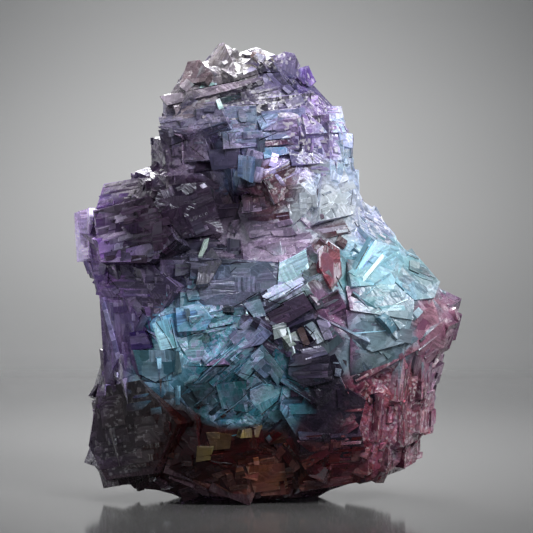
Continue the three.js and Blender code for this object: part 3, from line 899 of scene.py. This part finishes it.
# Zones of the front, by pixels of the photograph: (column, row), (reach across, reach up), colour, and
# then how frosted, how sparkling and how busy with fine shards the zone is, from 0 to 1
# The sparkle leans tiles, and also paints some tiles near white as painted glints
ZONES = {
    "crown tip": ((232, 52), (18, 12), "c0bcbe", 0.6, 0.5, 0.5),
    "crown cream": ((268, 52), (34, 9), "8a8078", 0.6, 0.9, 0.6),
    "crown left prisms": ((200, 74), (34, 16), "b0a6ae", 0.6, 0.3, 0.4),
    "crown blades": ((298, 72), (24, 20), "8e84b2", 0.2, 0.1, 0.5),
    "crown right edge": ((318, 86), (12, 14), "7d63b8", 0.2, 0.3, 0.6),
    "teal chip": ((220, 89), (13, 5), "a8dcd8", 0.3, 0.0, 0.2),
    "tilted plate": ((176, 100), (22, 8), "b8aab6", 0.3, 0.0, 0.2),
    # painted glints: its high sparkle paints many tiles near white
    "silver band": ((275, 97), (44, 12), "9894a0", 0.3, 1.0, 0.8),
    "stack left": ((200, 122), (42, 18), "74708a", 0.7, 0.2, 0.9),
    "stack middle": ((248, 132), (30, 16), "8c9cc0", 0.7, 0.2, 0.9),
    "blue window": ((272, 118), (15, 8), "8692b8", 0.2, 0.0, 0.4),
    "stack right": ((322, 132), (24, 26), "a68eca", 0.3, 0.8, 0.9),
    "right end": ((347, 148), (10, 20), "b6d6f0", 0.6, 0.4, 0.7),
    # painted light: paler than the stack around it, to lift the shade of the crevice under the stack
    "stack foot": ((290, 156), (34, 9), "d0c4ff", 0.4, 0.1, 0.8),
    "stack foot left": ((232, 158), (24, 10), "9c90b4", 0.4, 0.1, 0.8),
    "stack lower left": ((176, 150), (20, 24), "786684", 0.4, 0.2, 0.6),
    "blue stub": ((243, 172), (9, 14), "6c82aa", 0.2, 0.0, 0.3),
    "neck": ((205, 205), (52, 26), "3e3246", 0.3, 0.0, 0.4),
    "neck rose": ((278, 192), (24, 14), "684450", 0.5, 0.3, 0.7),
    "swell top": ((345, 178), (16, 16), "c6dcfa", 0.8, 0.2, 0.15),
    "swell": ((330, 208), (28, 22), "dae4f4", 0.8, 0.2, 0.15),
    "pink face": ((278, 240), (36, 18), "a894b4", 0.5, 0.0, 0.4),
    "shoulder": ((130, 218), (44, 30), "38283c", 0.3, 0.0, 0.4),
    # painted rim light: the left edge painted pale lavender where light falls on it
    "shoulder edge painted rim light": ((80, 234), (12, 26), "e8ccff", 0.4, 0.3, 0.4),
    "shoulder top": ((118, 190), (28, 8), "c4bac8", 0.5, 0.4, 0.5),
    "flank violet": ((96, 276), (12, 22), "a47ccc", 0.4, 0.0, 0.25),
    "shoulder foot": ((150, 280), (34, 22), "645a78", 0.3, 0.0, 0.6),
    "centre slab": ((235, 285), (42, 13), "8388a8", 0.4, 0.0, 0.8),
    "centre slab top": ((212, 255), (24, 14), "48465a", 0.3, 0.0, 0.4),
    # painted reflection: the ledges' pale cyan, brightened for light reflected inside the crystal
    "ledges": ((298, 268), (30, 16), "c8e8f0", 0.2, 0.1, 0.8),
    "rose knob": ((332, 262), (17, 23), "561c2a", 0.35, 0.0, 0.2),
    "dome": ((382, 272), (36, 30), "94c8da", 0.75, 0.1, 0.15),
    "dome shine": ((374, 262), (18, 14), "92c8dc", 0.6, 0.2, 0.2),
    "dome top": ((382, 222), (16, 18), "b0bade", 0.7, 0.8, 0.6),
    "dome grey": ((424, 272), (20, 20), "869eaa", 0.7, 0.2, 0.3),
    "dome foot": ((380, 335), (34, 22), "8aa4b4", 0.8, 0.0, 0.3),
    "dome side": ((345, 318), (18, 24), "9a6c94", 0.4, 0.0, 0.5),
    "edge knobs": ((446, 330), (14, 36), "a46e88", 0.7, 0.05, 0.3),
    "centre dark": ((296, 330), (34, 26), "433c54", 0.2, 0.0, 0.6),
    "white blades": ((318, 322), (12, 12), "98a0b4", 0.2, 0.1, 0.6),
    # painted reflection: bright cyan, partly the crystal's own colour and partly light reflected inside it
    "cleaved face": ((166, 336), (13, 14), "8cd8ff", 0.2, 0.0, 0.2),
    "cyan step": ((196, 310), (20, 15), "8ec8e4", 0.4, 0.2, 0.6),
    "cyan middle": ((218, 336), (28, 16), "8ad6ee", 0.3, 0.1, 1.0),
    "teal chevrons": ((248, 372), (36, 18), "427e94", 0.2, 0.0, 0.9),
    "teal foot": ((254, 398), (34, 16), "4c8ca0", 0.2, 0.0, 0.8),
    "teal shade": ((308, 368), (26, 18), "3a3444", 0.2, 0.0, 0.7),
    "teal shade left": ((206, 392), (16, 12), "2c3842", 0.3, 0.0, 0.5),
    "teal cube": ((166, 370), (24, 20), "6c9ab4", 0.3, 0.0, 0.2),
    "left slab": ((126, 345), (20, 36), "7a669e", 0.4, 0.0, 0.12),
    "left slab line": ((108, 350), (4, 34), "b0a4dc", 0.2, 0.0, 0.2),
    "left edge": ((95, 372), (7, 40), "5c4a70", 0.5, 0.05, 0.2),
    "rough face": ((122, 432), (38, 40), "3e3639", 0.8, 0.2, 0.15),
    "slate": ((322, 408), (34, 26), "2a2230", 0.5, 0.0, 0.15),
    "foot left": ((185, 452), (40, 26), "2e110f", 0.3, 0.0, 0.4),
    "foot": ((262, 458), (60, 22), "3a0f0b", 0.3, 0.0, 0.5),
    # painted glow: a warm patch that stands in for light shining through the foot
    "foot glow": ((266, 484), (40, 12), "a0604c", 0.2, 0.0, 0.4),
    "foot right": ((345, 468), (30, 18), "622a2f", 0.4, 0.1, 0.5),
    "mauve prisms": ((404, 428), (34, 44), "a0586c", 0.5, 0.4, 0.7),
    "mauve rim": ((430, 420), (14, 36), "9d6c7b", 0.5, 0.5, 0.5),
}
# Zones that aren't seen in the photograph, with their places and reaches in millimetres
HIDDEN_ZONES = {
    "back crown": ((-2, 16, 86), (22, 16, 14), "8f86b4", 0.4, 0.3, 0.6),
    "back left": ((-28, 18, 54), (16, 18, 18), "5c4872", 0.3, 0.1, 0.5),
    "back middle": ((0, 22, 60), (20, 16, 18), "7f96b0", 0.6, 0.2, 0.5),
    "back right": ((26, 16, 38), (18, 16, 18), "86a8b6", 0.5, 0.1, 0.5),
    "back lower left": ((-24, 18, 22), (20, 16, 18), "564c68", 0.5, 0.2, 0.5),
    "back lower right": ((18, 20, 16), (24, 16, 16), "76586a", 0.4, 0.2, 0.5),
    "left side": ((-40, 0, 56), (8, 14, 16), "8c6cba", 0.4, 0.2, 0.5),
    "left side foot": ((-38, 4, 18), (10, 18, 18), "5a4a66", 0.5, 0.3, 0.5),
    "right side": ((40, 4, 36), (10, 14, 14), "8e6c88", 0.4, 0.2, 0.5),
    "base": ((0, 0, 0), (40, 24, 6), "45323a", 0.5, 0.0, 0.2),
}
FRONT_DEPTH = 26.0  # how deep the front's zones reach
FRONT_Y = -20.0
ZONE_EDGE = 2.2  # the larger, the harder a zone's edge
ZONE_TONE = 0.64  # of the colours, because the light is stronger than plain white would need
WANDER = 2.2  # how far a crystal's colour is taken from beside it
FARTHEST = 14  # beyond this squared distance, all zones weigh the same
LEAST_WEIGHT = 1e-14
FROST, SPARKLE, BUSY = 3, 4, 5  # what follows a zone's colour


def toned(colour):
    """A zone's colour, for the light of this scene."""
    return tuple(ZONE_TONE * part for part in linear(colour))


def zone_table():
    """Every zone's place, its reach, and its colour and other values, as arrays."""
    rows = []
    for pixel, (across, up), colour, *rest in ZONES.values():
        x, _, z = at_pixel(*pixel)
        reach = (across * MM_PER_PIXEL, FRONT_DEPTH, up * MM_PER_PIXEL)
        rows.append((x, FRONT_Y, z, *reach, *toned(colour), *rest))
    for place, reach, colour, *rest in HIDDEN_ZONES.values():
        rows.append((*place, *reach, *toned(colour), *rest))
    table = np.array(rows)
    return table[:, 0:3], table[:, 3:6], table[:, 6:]


PLACES, REACHES, VALUES = zone_table()


def zone_values(points):
    """The zones' colour and other values at points in millimetres, blended."""
    points = as_seen(points)
    total = np.zeros((len(points), 1))
    mixed = np.zeros((len(points), VALUES.shape[1]))
    for place, reach, value in zip(PLACES, REACHES, VALUES):
        distance = (((points - place) / reach) ** 2).sum(1)
        weight = np.exp(-ZONE_EDGE * np.minimum(distance, FARTHEST))[:, None] + LEAST_WEIGHT
        total += weight
        mixed += weight * value
    return mixed / total


def paint(mesh, axes, grains, tints):
    """Gives the mesh what the material reads: the zones' colour and finish or a facet's set tint, which for
    some facets is a painted highlight and for the cracks painted shade, and each crystal's own directions
    and random number."""
    count = len(mesh.loops)
    corner = np.empty(count, np.int32)
    mesh.loops.foreach_get("vertex_index", corner)
    points = np.empty(len(mesh.vertices) * 3, np.float32)
    mesh.vertices.foreach_get("co", points)
    points = points.reshape(-1, 3)[corner] / MM
    numbers = np.empty(len(mesh.polygons), np.int32)
    mesh.attributes["grain_number"].data.foreach_get("value", numbers)
    corners_of_face = np.empty(len(mesh.polygons), np.int32)
    mesh.polygons.foreach_get("loop_total", corners_of_face)
    wander = np.random.default_rng(SEED).normal(0, WANDER, (len(grains), 3))
    number_of_corner = np.repeat(numbers, corners_of_face)
    values = zone_values(points + wander[number_of_corner])
    for number, tint in tints.items():
        values[number_of_corner == number, :3] = tint

    colour = mesh.attributes.new("zone_colour", "FLOAT_COLOR", "CORNER")
    colour.data.foreach_set("color", np.c_[values[:, :3], np.ones(count)].ravel())
    for name, column in (("frost", FROST), ("sparkle", SPARKLE), ("busy", BUSY)):
        layer = mesh.attributes.new(name, "FLOAT", "CORNER")
        layer.data.foreach_set("value", values[:, column].copy())
    for name, table in (("along", axes[:, 0]), ("across", axes[:, 1])):
        layer = mesh.attributes.new(name, "FLOAT_VECTOR", "FACE")
        layer.data.foreach_set("vector", table[numbers].ravel())
    layer = mesh.attributes.new("grain", "FLOAT", "FACE")
    layer.data.foreach_set("value", grains[numbers])


# The crystal material


class Nodes:
    """Adds nodes to a material, each with its inputs set or linked."""

    def __init__(self, name):
        self.material = bpy.data.materials.new(name)
        self.material.use_nodes = True
        self.tree = self.material.node_tree
        self.tree.nodes.clear()

    def put(self, value, socket):
        """Links an output to a socket, or sets the socket to a value."""
        if isinstance(value, bpy.types.NodeSocket):
            self.tree.links.new(value, socket)
        elif value is not None:
            socket.default_value = value

    def add(self, kind, inputs=None, **settings):
        made = self.tree.nodes.new(kind)
        for key, value in settings.items():
            setattr(made, key, value)
        for key, value in (inputs or {}).items():
            self.put(value, made.inputs[key])
        return made

    def attribute(self, name, output="Fac"):
        return self.add("ShaderNodeAttribute", attribute_name=name).outputs[output]

    def math(self, operation, a, b=None, c=None):
        return self.add("ShaderNodeMath", {0: a, 1: b, 2: c}, operation=operation).outputs[0]

    def times(self, value, *others):
        """The product of values."""
        for other in others:
            value = self.math("MULTIPLY", value, other)
        return value

    def vector(self, operation, a, b=None, scale=None):
        inputs = {0: a, 1: b}
        if scale is not None:
            inputs = {0: a, "Scale": scale}
        made = self.add("ShaderNodeVectorMath", inputs, operation=operation)
        return made.outputs["Value" if operation == "DOT_PRODUCT" else "Vector"]

    def combine(self, x, y, z):
        return self.add("ShaderNodeCombineXYZ", {0: x, 1: y, 2: z}).outputs[0]

    def span(self, value, low, high, to_low=0.0, to_high=1.0):
        inputs = {"Value": value, "From Min": low, "From Max": high, "To Min": to_low, "To Max": to_high}
        return self.add("ShaderNodeMapRange", inputs).outputs[0]

    def noise(self, vector, scale, detail=2.0, output="Fac"):
        inputs = {"Vector": vector, "Scale": scale, "Detail": detail}
        return self.add("ShaderNodeTexNoise", inputs).outputs[output]

    def parts(self, colour):
        """The three values of a colour."""
        return self.add("ShaderNodeSeparateColor", {0: colour}).outputs

    def mix(self, factor, a, b, blend="MIX"):
        made = self.add("ShaderNodeMix", data_type="RGBA", blend_type=blend)
        self.put(factor, made.inputs[0])
        self.put(a, made.inputs[6])
        self.put(b, made.inputs[7])
        return made.outputs[2]


# In millimetres: how far apart crystals are moved, and the length and width of the blocks and of the tiles
CRYSTAL_APART = 40.0
BLOCK, TILE = (5.0, 2.6), (0.9, 0.55)
CELL_RANDOMNESS = 0.8


def crystal_space(n):
    """The place in a crystal's own directions, in millimetres, moved apart for each crystal."""
    place = n.vector("SCALE", n.add("ShaderNodeTexCoord").outputs["Object"], scale=1 / MM)
    along, across = n.attribute("along", "Vector"), n.attribute("across", "Vector")
    upright = n.vector("CROSS_PRODUCT", along, across)
    u, v, w = (n.vector("DOT_PRODUCT", place, axis) for axis in (along, across, upright))
    apart = n.times(n.attribute("grain"), CRYSTAL_APART)
    return place, n.math("ADD", u, apart), n.math("ADD", v, apart), w


def mosaic(n, u, v, w, length, width):
    """Square cells in a crystal's own directions: each cell's random values, and how near its rim is."""
    sizes = zip((u, v, w), (length, width, width))
    place = n.combine(*(n.math("DIVIDE", distance, size) for distance, size in sizes))
    inputs = {"Vector": place, "Scale": 1.0, "Randomness": CELL_RANDOMNESS}
    nearest = n.add("ShaderNodeTexVoronoi", inputs, feature="F1", distance="CHEBYCHEV")
    second = n.add("ShaderNodeTexVoronoi", inputs, feature="F2", distance="CHEBYCHEV")
    rim = n.math("SUBTRACT", second.outputs["Distance"], nearest.outputs["Distance"])
    return nearest.outputs["Color"], rim


# The growth lines: the random values above which they run across and aslant, their waves' scale and size,
# their scale along and across, and the noise at which a line begins and is full
LINES = {
    "across": 0.62,
    "aslant": 0.86,
    "waves": (0.35, 1.4),
    "scales": (0.1, 1.9),
    "noise": (0.36, 0.64),
}


def growth_lines(n, u, v, w, pick):
    """Fine parallel lines that run along the crystal, across it or aslant, as a random value picks."""
    quarter = n.times(n.math("GREATER_THAN", pick, LINES["across"]), math.pi / 2)
    eighth = n.times(n.math("GREATER_THAN", pick, LINES["aslant"]), math.pi / 4)
    angle = n.math("SUBTRACT", quarter, eighth)
    cosine, sine = n.math("COSINE", angle), n.math("SINE", angle)
    along = n.math("SUBTRACT", n.times(u, cosine), n.times(v, sine))
    across = n.math("ADD", n.times(u, sine), n.times(v, cosine))
    wave_scale, wave_size = LINES["waves"]
    wave = n.times(n.noise(n.combine(along, across, w), wave_scale, 1.0), wave_size)
    scale_along, scale_across = LINES["scales"]
    place = n.combine(n.times(along, scale_along), n.math("MULTIPLY_ADD", across, scale_across, wave), w)
    return n.span(n.noise(place, 1.0), *LINES["noise"])


# What multiplies a colour's brightness, at the low and the high end of what it follows
CRYSTAL_VALUES, CLOUD_VALUES, BLOCK_VALUES = (0.6, 1.4), (0.75, 1.25), (0.72, 1.3)
# painted highlights and painted shade: how much darker and brighter the shards' narrow sides are, as lit and
# shaded edges
SIDE_HIGHLIGHT_AND_SHADE = (0.35, 1.9)
SIDE_PICKS = 17.0  # makes another random number of a crystal's own
# How much brightness varies over the tiles of a clear and a frosted crystal, and along the growth lines
TILE_CONTRASTS, LINE_CONTRAST = (0.32, 0.08), 1.2
LINE_STRENGTHS = (0.45, 1.0)  # in a plain zone, and in one busy with fine work
# The width of the rims, as a share of a block or a tile, and how much brighter or darker they are painted:
# painted shade and painted highlights at the block rims, painted highlights at the tile rims
BLOCK_RIM, BLOCK_RIM_SHADE_AND_HIGHLIGHT = 0.045, (-0.6, 0.9)
TILE_RIM, TILE_RIM_HIGHLIGHT = 0.12, 0.5
# The clouds' scale and detail, and the noise at their low and high end
CLOUDS, VIOLET_CLOUDS = (0.12, 4.0), (0.28, 3.0)
CLOUD_ENDS, VIOLET_CLOUD_ENDS = (0.3, 0.7), (0.5, 0.64)
HUES, HUE_SHIFTS = (0.486, 0.514), (-0.014, 0.014)  # 0.5 leaves a hue as it is
SATURATIONS = (1.15, 0.8)
VIOLET_TONE = (1.05, 0.9, 1.6)  # about as bright as grey
# How busy a zone is where violet begins and is full, and its share there
VIOLET_TILES, VIOLET_TILE_SHARE = (0.4, 0.9), 0.6
VIOLET_ZONES, VIOLET_CLOUD_SHARE = (0.3, 0.8), 0.5
VIOLET_TILE_ENDS = (0.5, 0.9)
# Bright tiles, painted glints: how much a zone's sparkle helps, the random value above which a tile is
# bright, the sparkle at which they begin and are full, their share and their colour
BRIGHT_HELP, BRIGHT_ABOVE, BRIGHT_ZONES, PAINTED_GLINT_SHARE = 0.22, 0.95, (0.1, 0.9), 0.75
PAINTED_GLINT_COLOUR = (0.8, 0.78, 0.82, 1.0)
# How far tiles lean by sparkle and by frost, and how far blocks lean
SPARKLE_LEAN, FROST_LEAN, BLOCK_LEAN = 0.3, 0.1, 0.22
HALVES = (0.5, 0.5, 0.5)
# Roughness of a clear and a frosted crystal and what a tile adds, and the brightness of a colour at which
# its gleam begins and is full
ROUGHNESSES, TILE_ROUGHNESSES = (0.09, 0.4), (-0.04, 0.08)
GLEAM_ENDS = (0.02, 0.2)


def brightness(n, noises, cells, lines, strength):
    """What multiplies the colour: by crystal, cloud, block and tile and along the lines, with painted shade
    and painted highlights at the rims and on the shards' sides.
    """
    clouds, grain, busy = noises
    block_value, line_pick, block_rim, tile_value, tile_rim = cells
    tile_contrast = n.span(n.attribute("frost"), 0, 1, *TILE_CONTRASTS)
    line_value = n.times(n.math("SUBTRACT", lines, 0.5), strength)
    # painted shade and painted highlights at the rims and on the shards' sides
    painted_block_rim_light = n.span(line_pick, 0, 1, *BLOCK_RIM_SHADE_AND_HIGHLIGHT)
    block_rim_painted_share = n.times(n.span(block_rim, 0.0, BLOCK_RIM, 1.0, 0.0), painted_block_rim_light)
    tile_rim_painted_highlight = n.times(n.span(tile_rim, 0.0, TILE_RIM, TILE_RIM_HIGHLIGHT, 0.0), busy)
    side_pick = n.math("FRACT", n.times(grain, SIDE_PICKS))
    painted_side_light_and_shade = n.span(side_pick, 0.25, 0.75, *SIDE_HIGHLIGHT_AND_SHADE)
    return n.times(
        n.span(grain, 0, 1, *CRYSTAL_VALUES),
        n.span(clouds, *CLOUD_ENDS, *CLOUD_VALUES),
        n.span(block_value, 0, 1, *BLOCK_VALUES),
        n.math("MULTIPLY_ADD", n.math("SUBTRACT", tile_value, 0.5), tile_contrast, 1.0),
        n.math("MULTIPLY_ADD", line_value, LINE_CONTRAST, 1.0),
        n.math("ADD", block_rim_painted_share, 1.0),
        n.math("ADD", tile_rim_painted_highlight, 1.0),
        n.span(n.attribute("side"), 0, 1, 1.0, painted_side_light_and_shade),
    )


def crystal_material():
    """Fluorite: the zones' colours in blocks and tiles, with growth lines and violet clouds, painted glints
    on bright tiles, and painted highlights and shade at rims and on sides.
    """
    n = Nodes("fluorite")
    place, u, v, w = crystal_space(n)
    sparkle, busy = n.attribute("sparkle"), n.attribute("busy")
    zone_colour = n.attribute("zone_colour", "Color")
    block, block_rim = mosaic(n, u, v, w, *BLOCK)
    tile, tile_rim = mosaic(n, u, v, w, *TILE)
    block_value, line_pick, line_strength = n.parts(block)
    tile_value, tile_finish, tile_glint = n.parts(tile)
    lines = growth_lines(n, u, v, w, line_pick)
    strength = n.times(n.span(line_strength, 0.1, 0.9), n.span(busy, 0, 1, *LINE_STRENGTHS))
    clouds = n.noise(place, *CLOUDS)
    cells = (block_value, line_pick, block_rim, tile_value, tile_rim)
    value = brightness(n, (clouds, n.attribute("grain"), busy), cells, lines, strength)

    # Colour: the zone's, a little warmer or cooler from block to block, and violet in clouds and tiles
    hue = n.math("ADD", n.span(clouds, *CLOUD_ENDS, *HUES), n.span(line_strength, 0, 1, *HUE_SHIFTS))
    saturation = n.span(block_value, 0, 1, *SATURATIONS)
    turned = n.add("ShaderNodeHueSaturation", {"Hue": hue, "Saturation": saturation, "Color": zone_colour})
    grey = n.add("ShaderNodeRGBToBW", {0: turned.outputs[0]}).outputs[0]
    violet_tiles = n.times(
        n.span(tile_value, *VIOLET_TILE_ENDS), n.span(busy, *VIOLET_TILES, 0.0, VIOLET_TILE_SHARE)
    )
    violet_clouds = n.times(
        n.span(n.noise(place, *VIOLET_CLOUDS), *VIOLET_CLOUD_ENDS),
        n.span(busy, *VIOLET_ZONES, 0.0, VIOLET_CLOUD_SHARE),
    )
    violet_share = n.math("MAXIMUM", violet_tiles, violet_clouds)
    two_toned = n.mix(violet_share, turned.outputs[0], n.vector("SCALE", VIOLET_TONE, scale=grey))
    colour = n.mix(1.0, two_toned, n.combine(value, value, value), "MULTIPLY")
    # Painted glints: tiles painted near white where the zone sparkles
    glint = n.math("MULTIPLY_ADD", sparkle, BRIGHT_HELP, tile_glint)
    painted_glint_tile = n.times(n.math("GREATER_THAN", glint, BRIGHT_ABOVE), n.span(sparkle, *BRIGHT_ZONES))
    colour = n.mix(n.times(painted_glint_tile, PAINTED_GLINT_SHARE), colour, PAINTED_GLINT_COLOUR)

    # The surface: blocks and tiles lean a little each their own way
    frost = n.attribute("frost")
    lean = n.math("ADD", n.times(sparkle, SPARKLE_LEAN), n.times(frost, FROST_LEAN))
    tile_lean = n.vector("SCALE", n.vector("SUBTRACT", tile, HALVES), scale=lean)
    block_lean = n.vector("SCALE", n.vector("SUBTRACT", block, HALVES), scale=BLOCK_LEAN)
    normal = n.add("ShaderNodeNewGeometry").outputs["Normal"]
    leaning = n.vector("ADD", normal, n.vector("ADD", tile_lean, block_lean))
    bump = n.add(
        "ShaderNodeBump",
        {
            "Strength": 0.6,
            "Distance": 0.16 * MM,
            "Height": n.times(lines, strength),
            "Normal": n.vector("NORMALIZE", leaning),
        },
    )
    rough = n.math("ADD", n.span(frost, 0, 1, *ROUGHNESSES), n.span(tile_finish, 0, 1, *TILE_ROUGHNESSES))
    zone_grey = n.add("ShaderNodeRGBToBW", {0: zone_colour}).outputs[0]
    gleam = n.span(zone_grey, *GLEAM_ENDS)
    shader = n.add(
        "ShaderNodeBsdfPrincipled",
        {
            "Base Color": colour,
            "Roughness": rough,
            "Normal": bump.outputs[0],
            "IOR": 1.434,
            "Specular IOR Level": n.math("MULTIPLY_ADD", gleam, 0.3, 0.2),
            "Specular Tint": (0.78, 0.88, 1.0, 1.0),
            "Transmission Weight": 0.25,
            "Coat Weight": n.math("MULTIPLY_ADD", gleam, 0.2, 0.05),
            "Coat Roughness": 0.08,
            "Coat Normal": bump.outputs[0],
            "Subsurface Weight": 0.2,
            "Subsurface Radius": (1.0, 0.9, 1.1),
            "Subsurface Scale": 1.5 * MM,
        },
    )
    absorbing = {"Color": (0.62, 0.58, 0.78, 1), "Density": 60.0}
    absorption = n.add("ShaderNodeVolumeAbsorption", absorbing)
    n.add("ShaderNodeOutputMaterial", {"Surface": shader.outputs[0], "Volume": absorption.outputs[0]})
    return n.material


def without_crumbs(mesh):
    """The mesh with only its largest connected part."""
    solid = bmesh.new()
    solid.from_mesh(mesh)
    left = set(solid.verts)
    islands = []
    while left:
        found, search = [], [left.pop()]
        while search:
            vertex = search.pop()
            found.append(vertex)
            joined = [e.other_vert(vertex) for e in vertex.link_edges]
            fresh = [other for other in joined if other in left]
            left.difference_update(fresh)
            search += fresh
        islands.append(found)
    islands.sort(key=len)
    bmesh.ops.delete(solid, geom=[v for island in islands[:-1] for v in island], context="VERTS")
    solid.to_mesh(mesh)
    solid.free()
    return mesh


def cluster():
    """The visual cluster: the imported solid, what grew between its crystals, and the facets, shards and
    cracks on it."""
    packed = merged_solid()
    crystals = facets_of(packed)
    crystal_of = {f.index: i for i, facet in enumerate(crystals) for f in facet.faces}
    packed_mesh = marked_mesh(packed, [crystal_of[f.index] for f in packed.faces])
    mass = boolean_of(packed_mesh, [filling(packed_mesh)], "UNION")
    rough, _ = triangles_of(mass)
    tree = BVHTree.FromBMesh(rough)
    broad = []
    for table, kind in ((BROAD_FACETS, BROAD), (PLAIN_FACETS, PLAIN), (SMOOTH_FACETS, SMOOTH)):
        broad += seen_facets(tree, table, kind)
    whole = with_shards(mass, [shard for shard, _ in broad], len(crystals), "UNION")
    rough.free()

    solid, marks = triangles_of(whole)
    facets = facets_of(solid, marks, crystals + [shard for shard, _ in broad])
    facet_of = {f.index: facet for facet in facets for f in facet.faces}
    tree = BVHTree.FromBMesh(solid)
    details = [(shard, toned(colour)) for shard, colour in seen_facets(tree, DETAILS, DETAIL)]
    # Untoned facets, among them painted reflections, highlights, glints and rim light, and the dome's rays
    untoned_and_highlight_facets = seen_facets(tree, UNTONED_AND_PAINTED_HIGHLIGHTS, DETAIL) + seen_facets(tree, fan_facets(), RAY)
    details += [(shard, linear(colour)) for shard, colour in untoned_and_highlight_facets]
    grown = terraces(facets, STEPS) + terraces(facets, STRIPS) + shingles(facets)
    grown += valley_crystals(rims_of(solid, facet_of))
    first_detail = len(facets) + len(grown)
    grown += [shard for shard, _ in details]
    clefts = seen_clefts(tree) + cracks(facets)
    first_cleft = len(facets) + len(grown)

    numbers = {id(facet): i for i, facet in enumerate(facets)}
    mesh = marked_mesh(solid, [numbers[id(facet_of[f.index])] for f in solid.faces])
    mesh = with_shards(mesh, grown, len(facets), "UNION")
    mesh = without_crumbs(with_shards(mesh, clefts, first_cleft, "DIFFERENCE"))

    tints = {i: toned(broad[facet.mark - len(crystals)][1]) for i, facet in enumerate(facets)
             if facet.mark >= len(crystals)}
    # The details' tints, among them the painted reflections, highlights, glints and rim light of the untoned
    # facets
    tints |= {first_detail + i: tint for i, (_, tint) in enumerate(details)}
    # The cracks' faces painted near black, as painted shade inside them
    tints |= {first_cleft + i: linear(CLEFT["colour"]) for i in range(len(clefts))}
    pieces = facets + grown + clefts
    axes = [(p.along[:], p.across[:]) for p in pieces]
    paint(mesh, np.array(axes, np.float32), np.array([p.grain for p in pieces], np.float32), tints)
    mesh.name = "cluster"
    piece = bpy.data.objects.new("cluster", mesh)
    bpy.context.scene.collection.objects.link(piece)
    mesh.materials.clear()
    mesh.materials.append(crystal_material())
    packed.free()
    solid.free()
    return piece


# Floor, light and camera, in metres

FLOOR_REACH = 1.6
BEND_START, BEND_RADIUS, BACKDROP_TOP, BEND_STEPS = 0.5, 0.5, 1.6, 16
BEND_EDGE = 0.02  # a narrow strip that keeps the flat floor's shading flat
FLOOR_Y, FLOOR_GREYS = (-0.06, 0.3), (0.07, 0.4)  # where the floor is dark and where it is pale


def floor():
    """A pale floor that curves up into a backdrop behind the object, a little darker near the object."""
    profile = [(-FLOOR_REACH, 0.0), (BEND_START - BEND_EDGE, 0.0), (BEND_START, 0.0)]
    for i in range(1, BEND_STEPS + 1):
        angle = math.pi / 2 * i / BEND_STEPS
        y = BEND_START + BEND_RADIUS * math.sin(angle)
        profile.append((y, BEND_RADIUS * (1 - math.cos(angle))))
    profile.append((BEND_START + BEND_RADIUS, BACKDROP_TOP))
    points = [(x, y, z) for y, z in profile for x in (-FLOOR_REACH, FLOOR_REACH)]
    faces = [(2 * i, 2 * i + 1, 2 * i + 3, 2 * i + 2) for i in range(len(profile) - 1)]
    mesh = bpy.data.meshes.new("floor")
    mesh.from_pydata(points, [], faces)
    for polygon in mesh.polygons:
        polygon.use_smooth = True
    piece = bpy.data.objects.new("floor", mesh)
    bpy.context.scene.collection.objects.link(piece)
    n = Nodes("floor")
    away = n.add("ShaderNodeSeparateXYZ", {0: n.add("ShaderNodeTexCoord").outputs["Object"]}).outputs[1]
    grey = n.span(away, *FLOOR_Y, *FLOOR_GREYS)
    shader = n.add(
        "ShaderNodeBsdfPrincipled",
        {"Base Color": n.combine(grey, grey, grey), "Roughness": 0.1, "Specular IOR Level": 0.5},
    )
    n.add("ShaderNodeOutputMaterial", {"Surface": shader.outputs[0]})
    mesh.materials.append(n.material)


MIDDLE = (0, 0, 0.05)
# Each light's place, target, size, power in watts and spread in degrees
LIGHTS = {
    "key": ((0.3, -0.42, 0.42), MIDDLE, (0.26, 0.26), 0.62, 60),
    "fill": ((-0.5, -0.45, 0.2), MIDDLE, (0.4, 0.4), 0.12, 60),
    "top": ((0.02, 0.02, 0.5), MIDDLE, (0.3, 0.2), 0.18, 60),
    "left rim": ((-0.42, 0.2, 0.15), MIDDLE, (0.15, 0.4), 0.08, 60),
    "right rim": ((0.42, 0.25, 0.25), MIDDLE, (0.15, 0.4), 0.16, 60),
    "back": ((-0.1, 0.5, 0.5), MIDDLE, (0.3, 0.3), 0.3, 40),
    "backdrop": ((-0.02, 0.3, 0.5), (-0.02, 0.88, 0.1), (0.2, 0.2), 0.4, 50),
    "bend": ((-0.04, 0.45, 0.45), (-0.04, 0.62, 0.0), (0.6, 0.1), 0.3, 80),
}
WORLD = {"Color": (0.85, 0.88, 0.92, 1), "Strength": 0.25}


def soft_light(name, place, target, size, watts, spread):
    """A soft light that faces a target and spreads over some degrees."""
    data = bpy.data.lights.new(name, "AREA")
    data.shape = "RECTANGLE"
    data.size, data.size_y = size
    data.energy = watts
    data.spread = math.radians(spread)
    lamp = bpy.data.objects.new(name, data)
    lamp.location = place
    lamp.rotation_mode = "QUATERNION"
    lamp.rotation_quaternion = (Vector(target) - Vector(place)).to_track_quat("-Z", "Y")
    lamp.visible_camera = False
    bpy.context.scene.collection.objects.link(lamp)


def lights():
    """The soft lights, and a dim even light from all round."""
    for name, settings in LIGHTS.items():
        soft_light(name, *settings)
    world = bpy.data.worlds.new("studio")
    world.use_nodes = True
    for name, value in WORLD.items():
        world.node_tree.nodes["Background"].inputs[name].default_value = value
    bpy.context.scene.world = world


def camera():
    """A level camera that frames the object as the photograph does."""
    data = bpy.data.cameras.new("camera")
    data.lens = CAMERA_LENS
    data.sensor_width = SENSOR
    made = bpy.data.objects.new("camera", data)
    made.location = CAMERA * MM
    made.rotation_euler = (math.pi / 2, 0, 0)
    bpy.context.scene.collection.objects.link(made)
    bpy.context.scene.camera = made


camera()
lights()
floor()
bpy.context.scene.view_settings.view_transform = "Standard"
piece = cluster()
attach(piece, "root")
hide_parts(NODE)
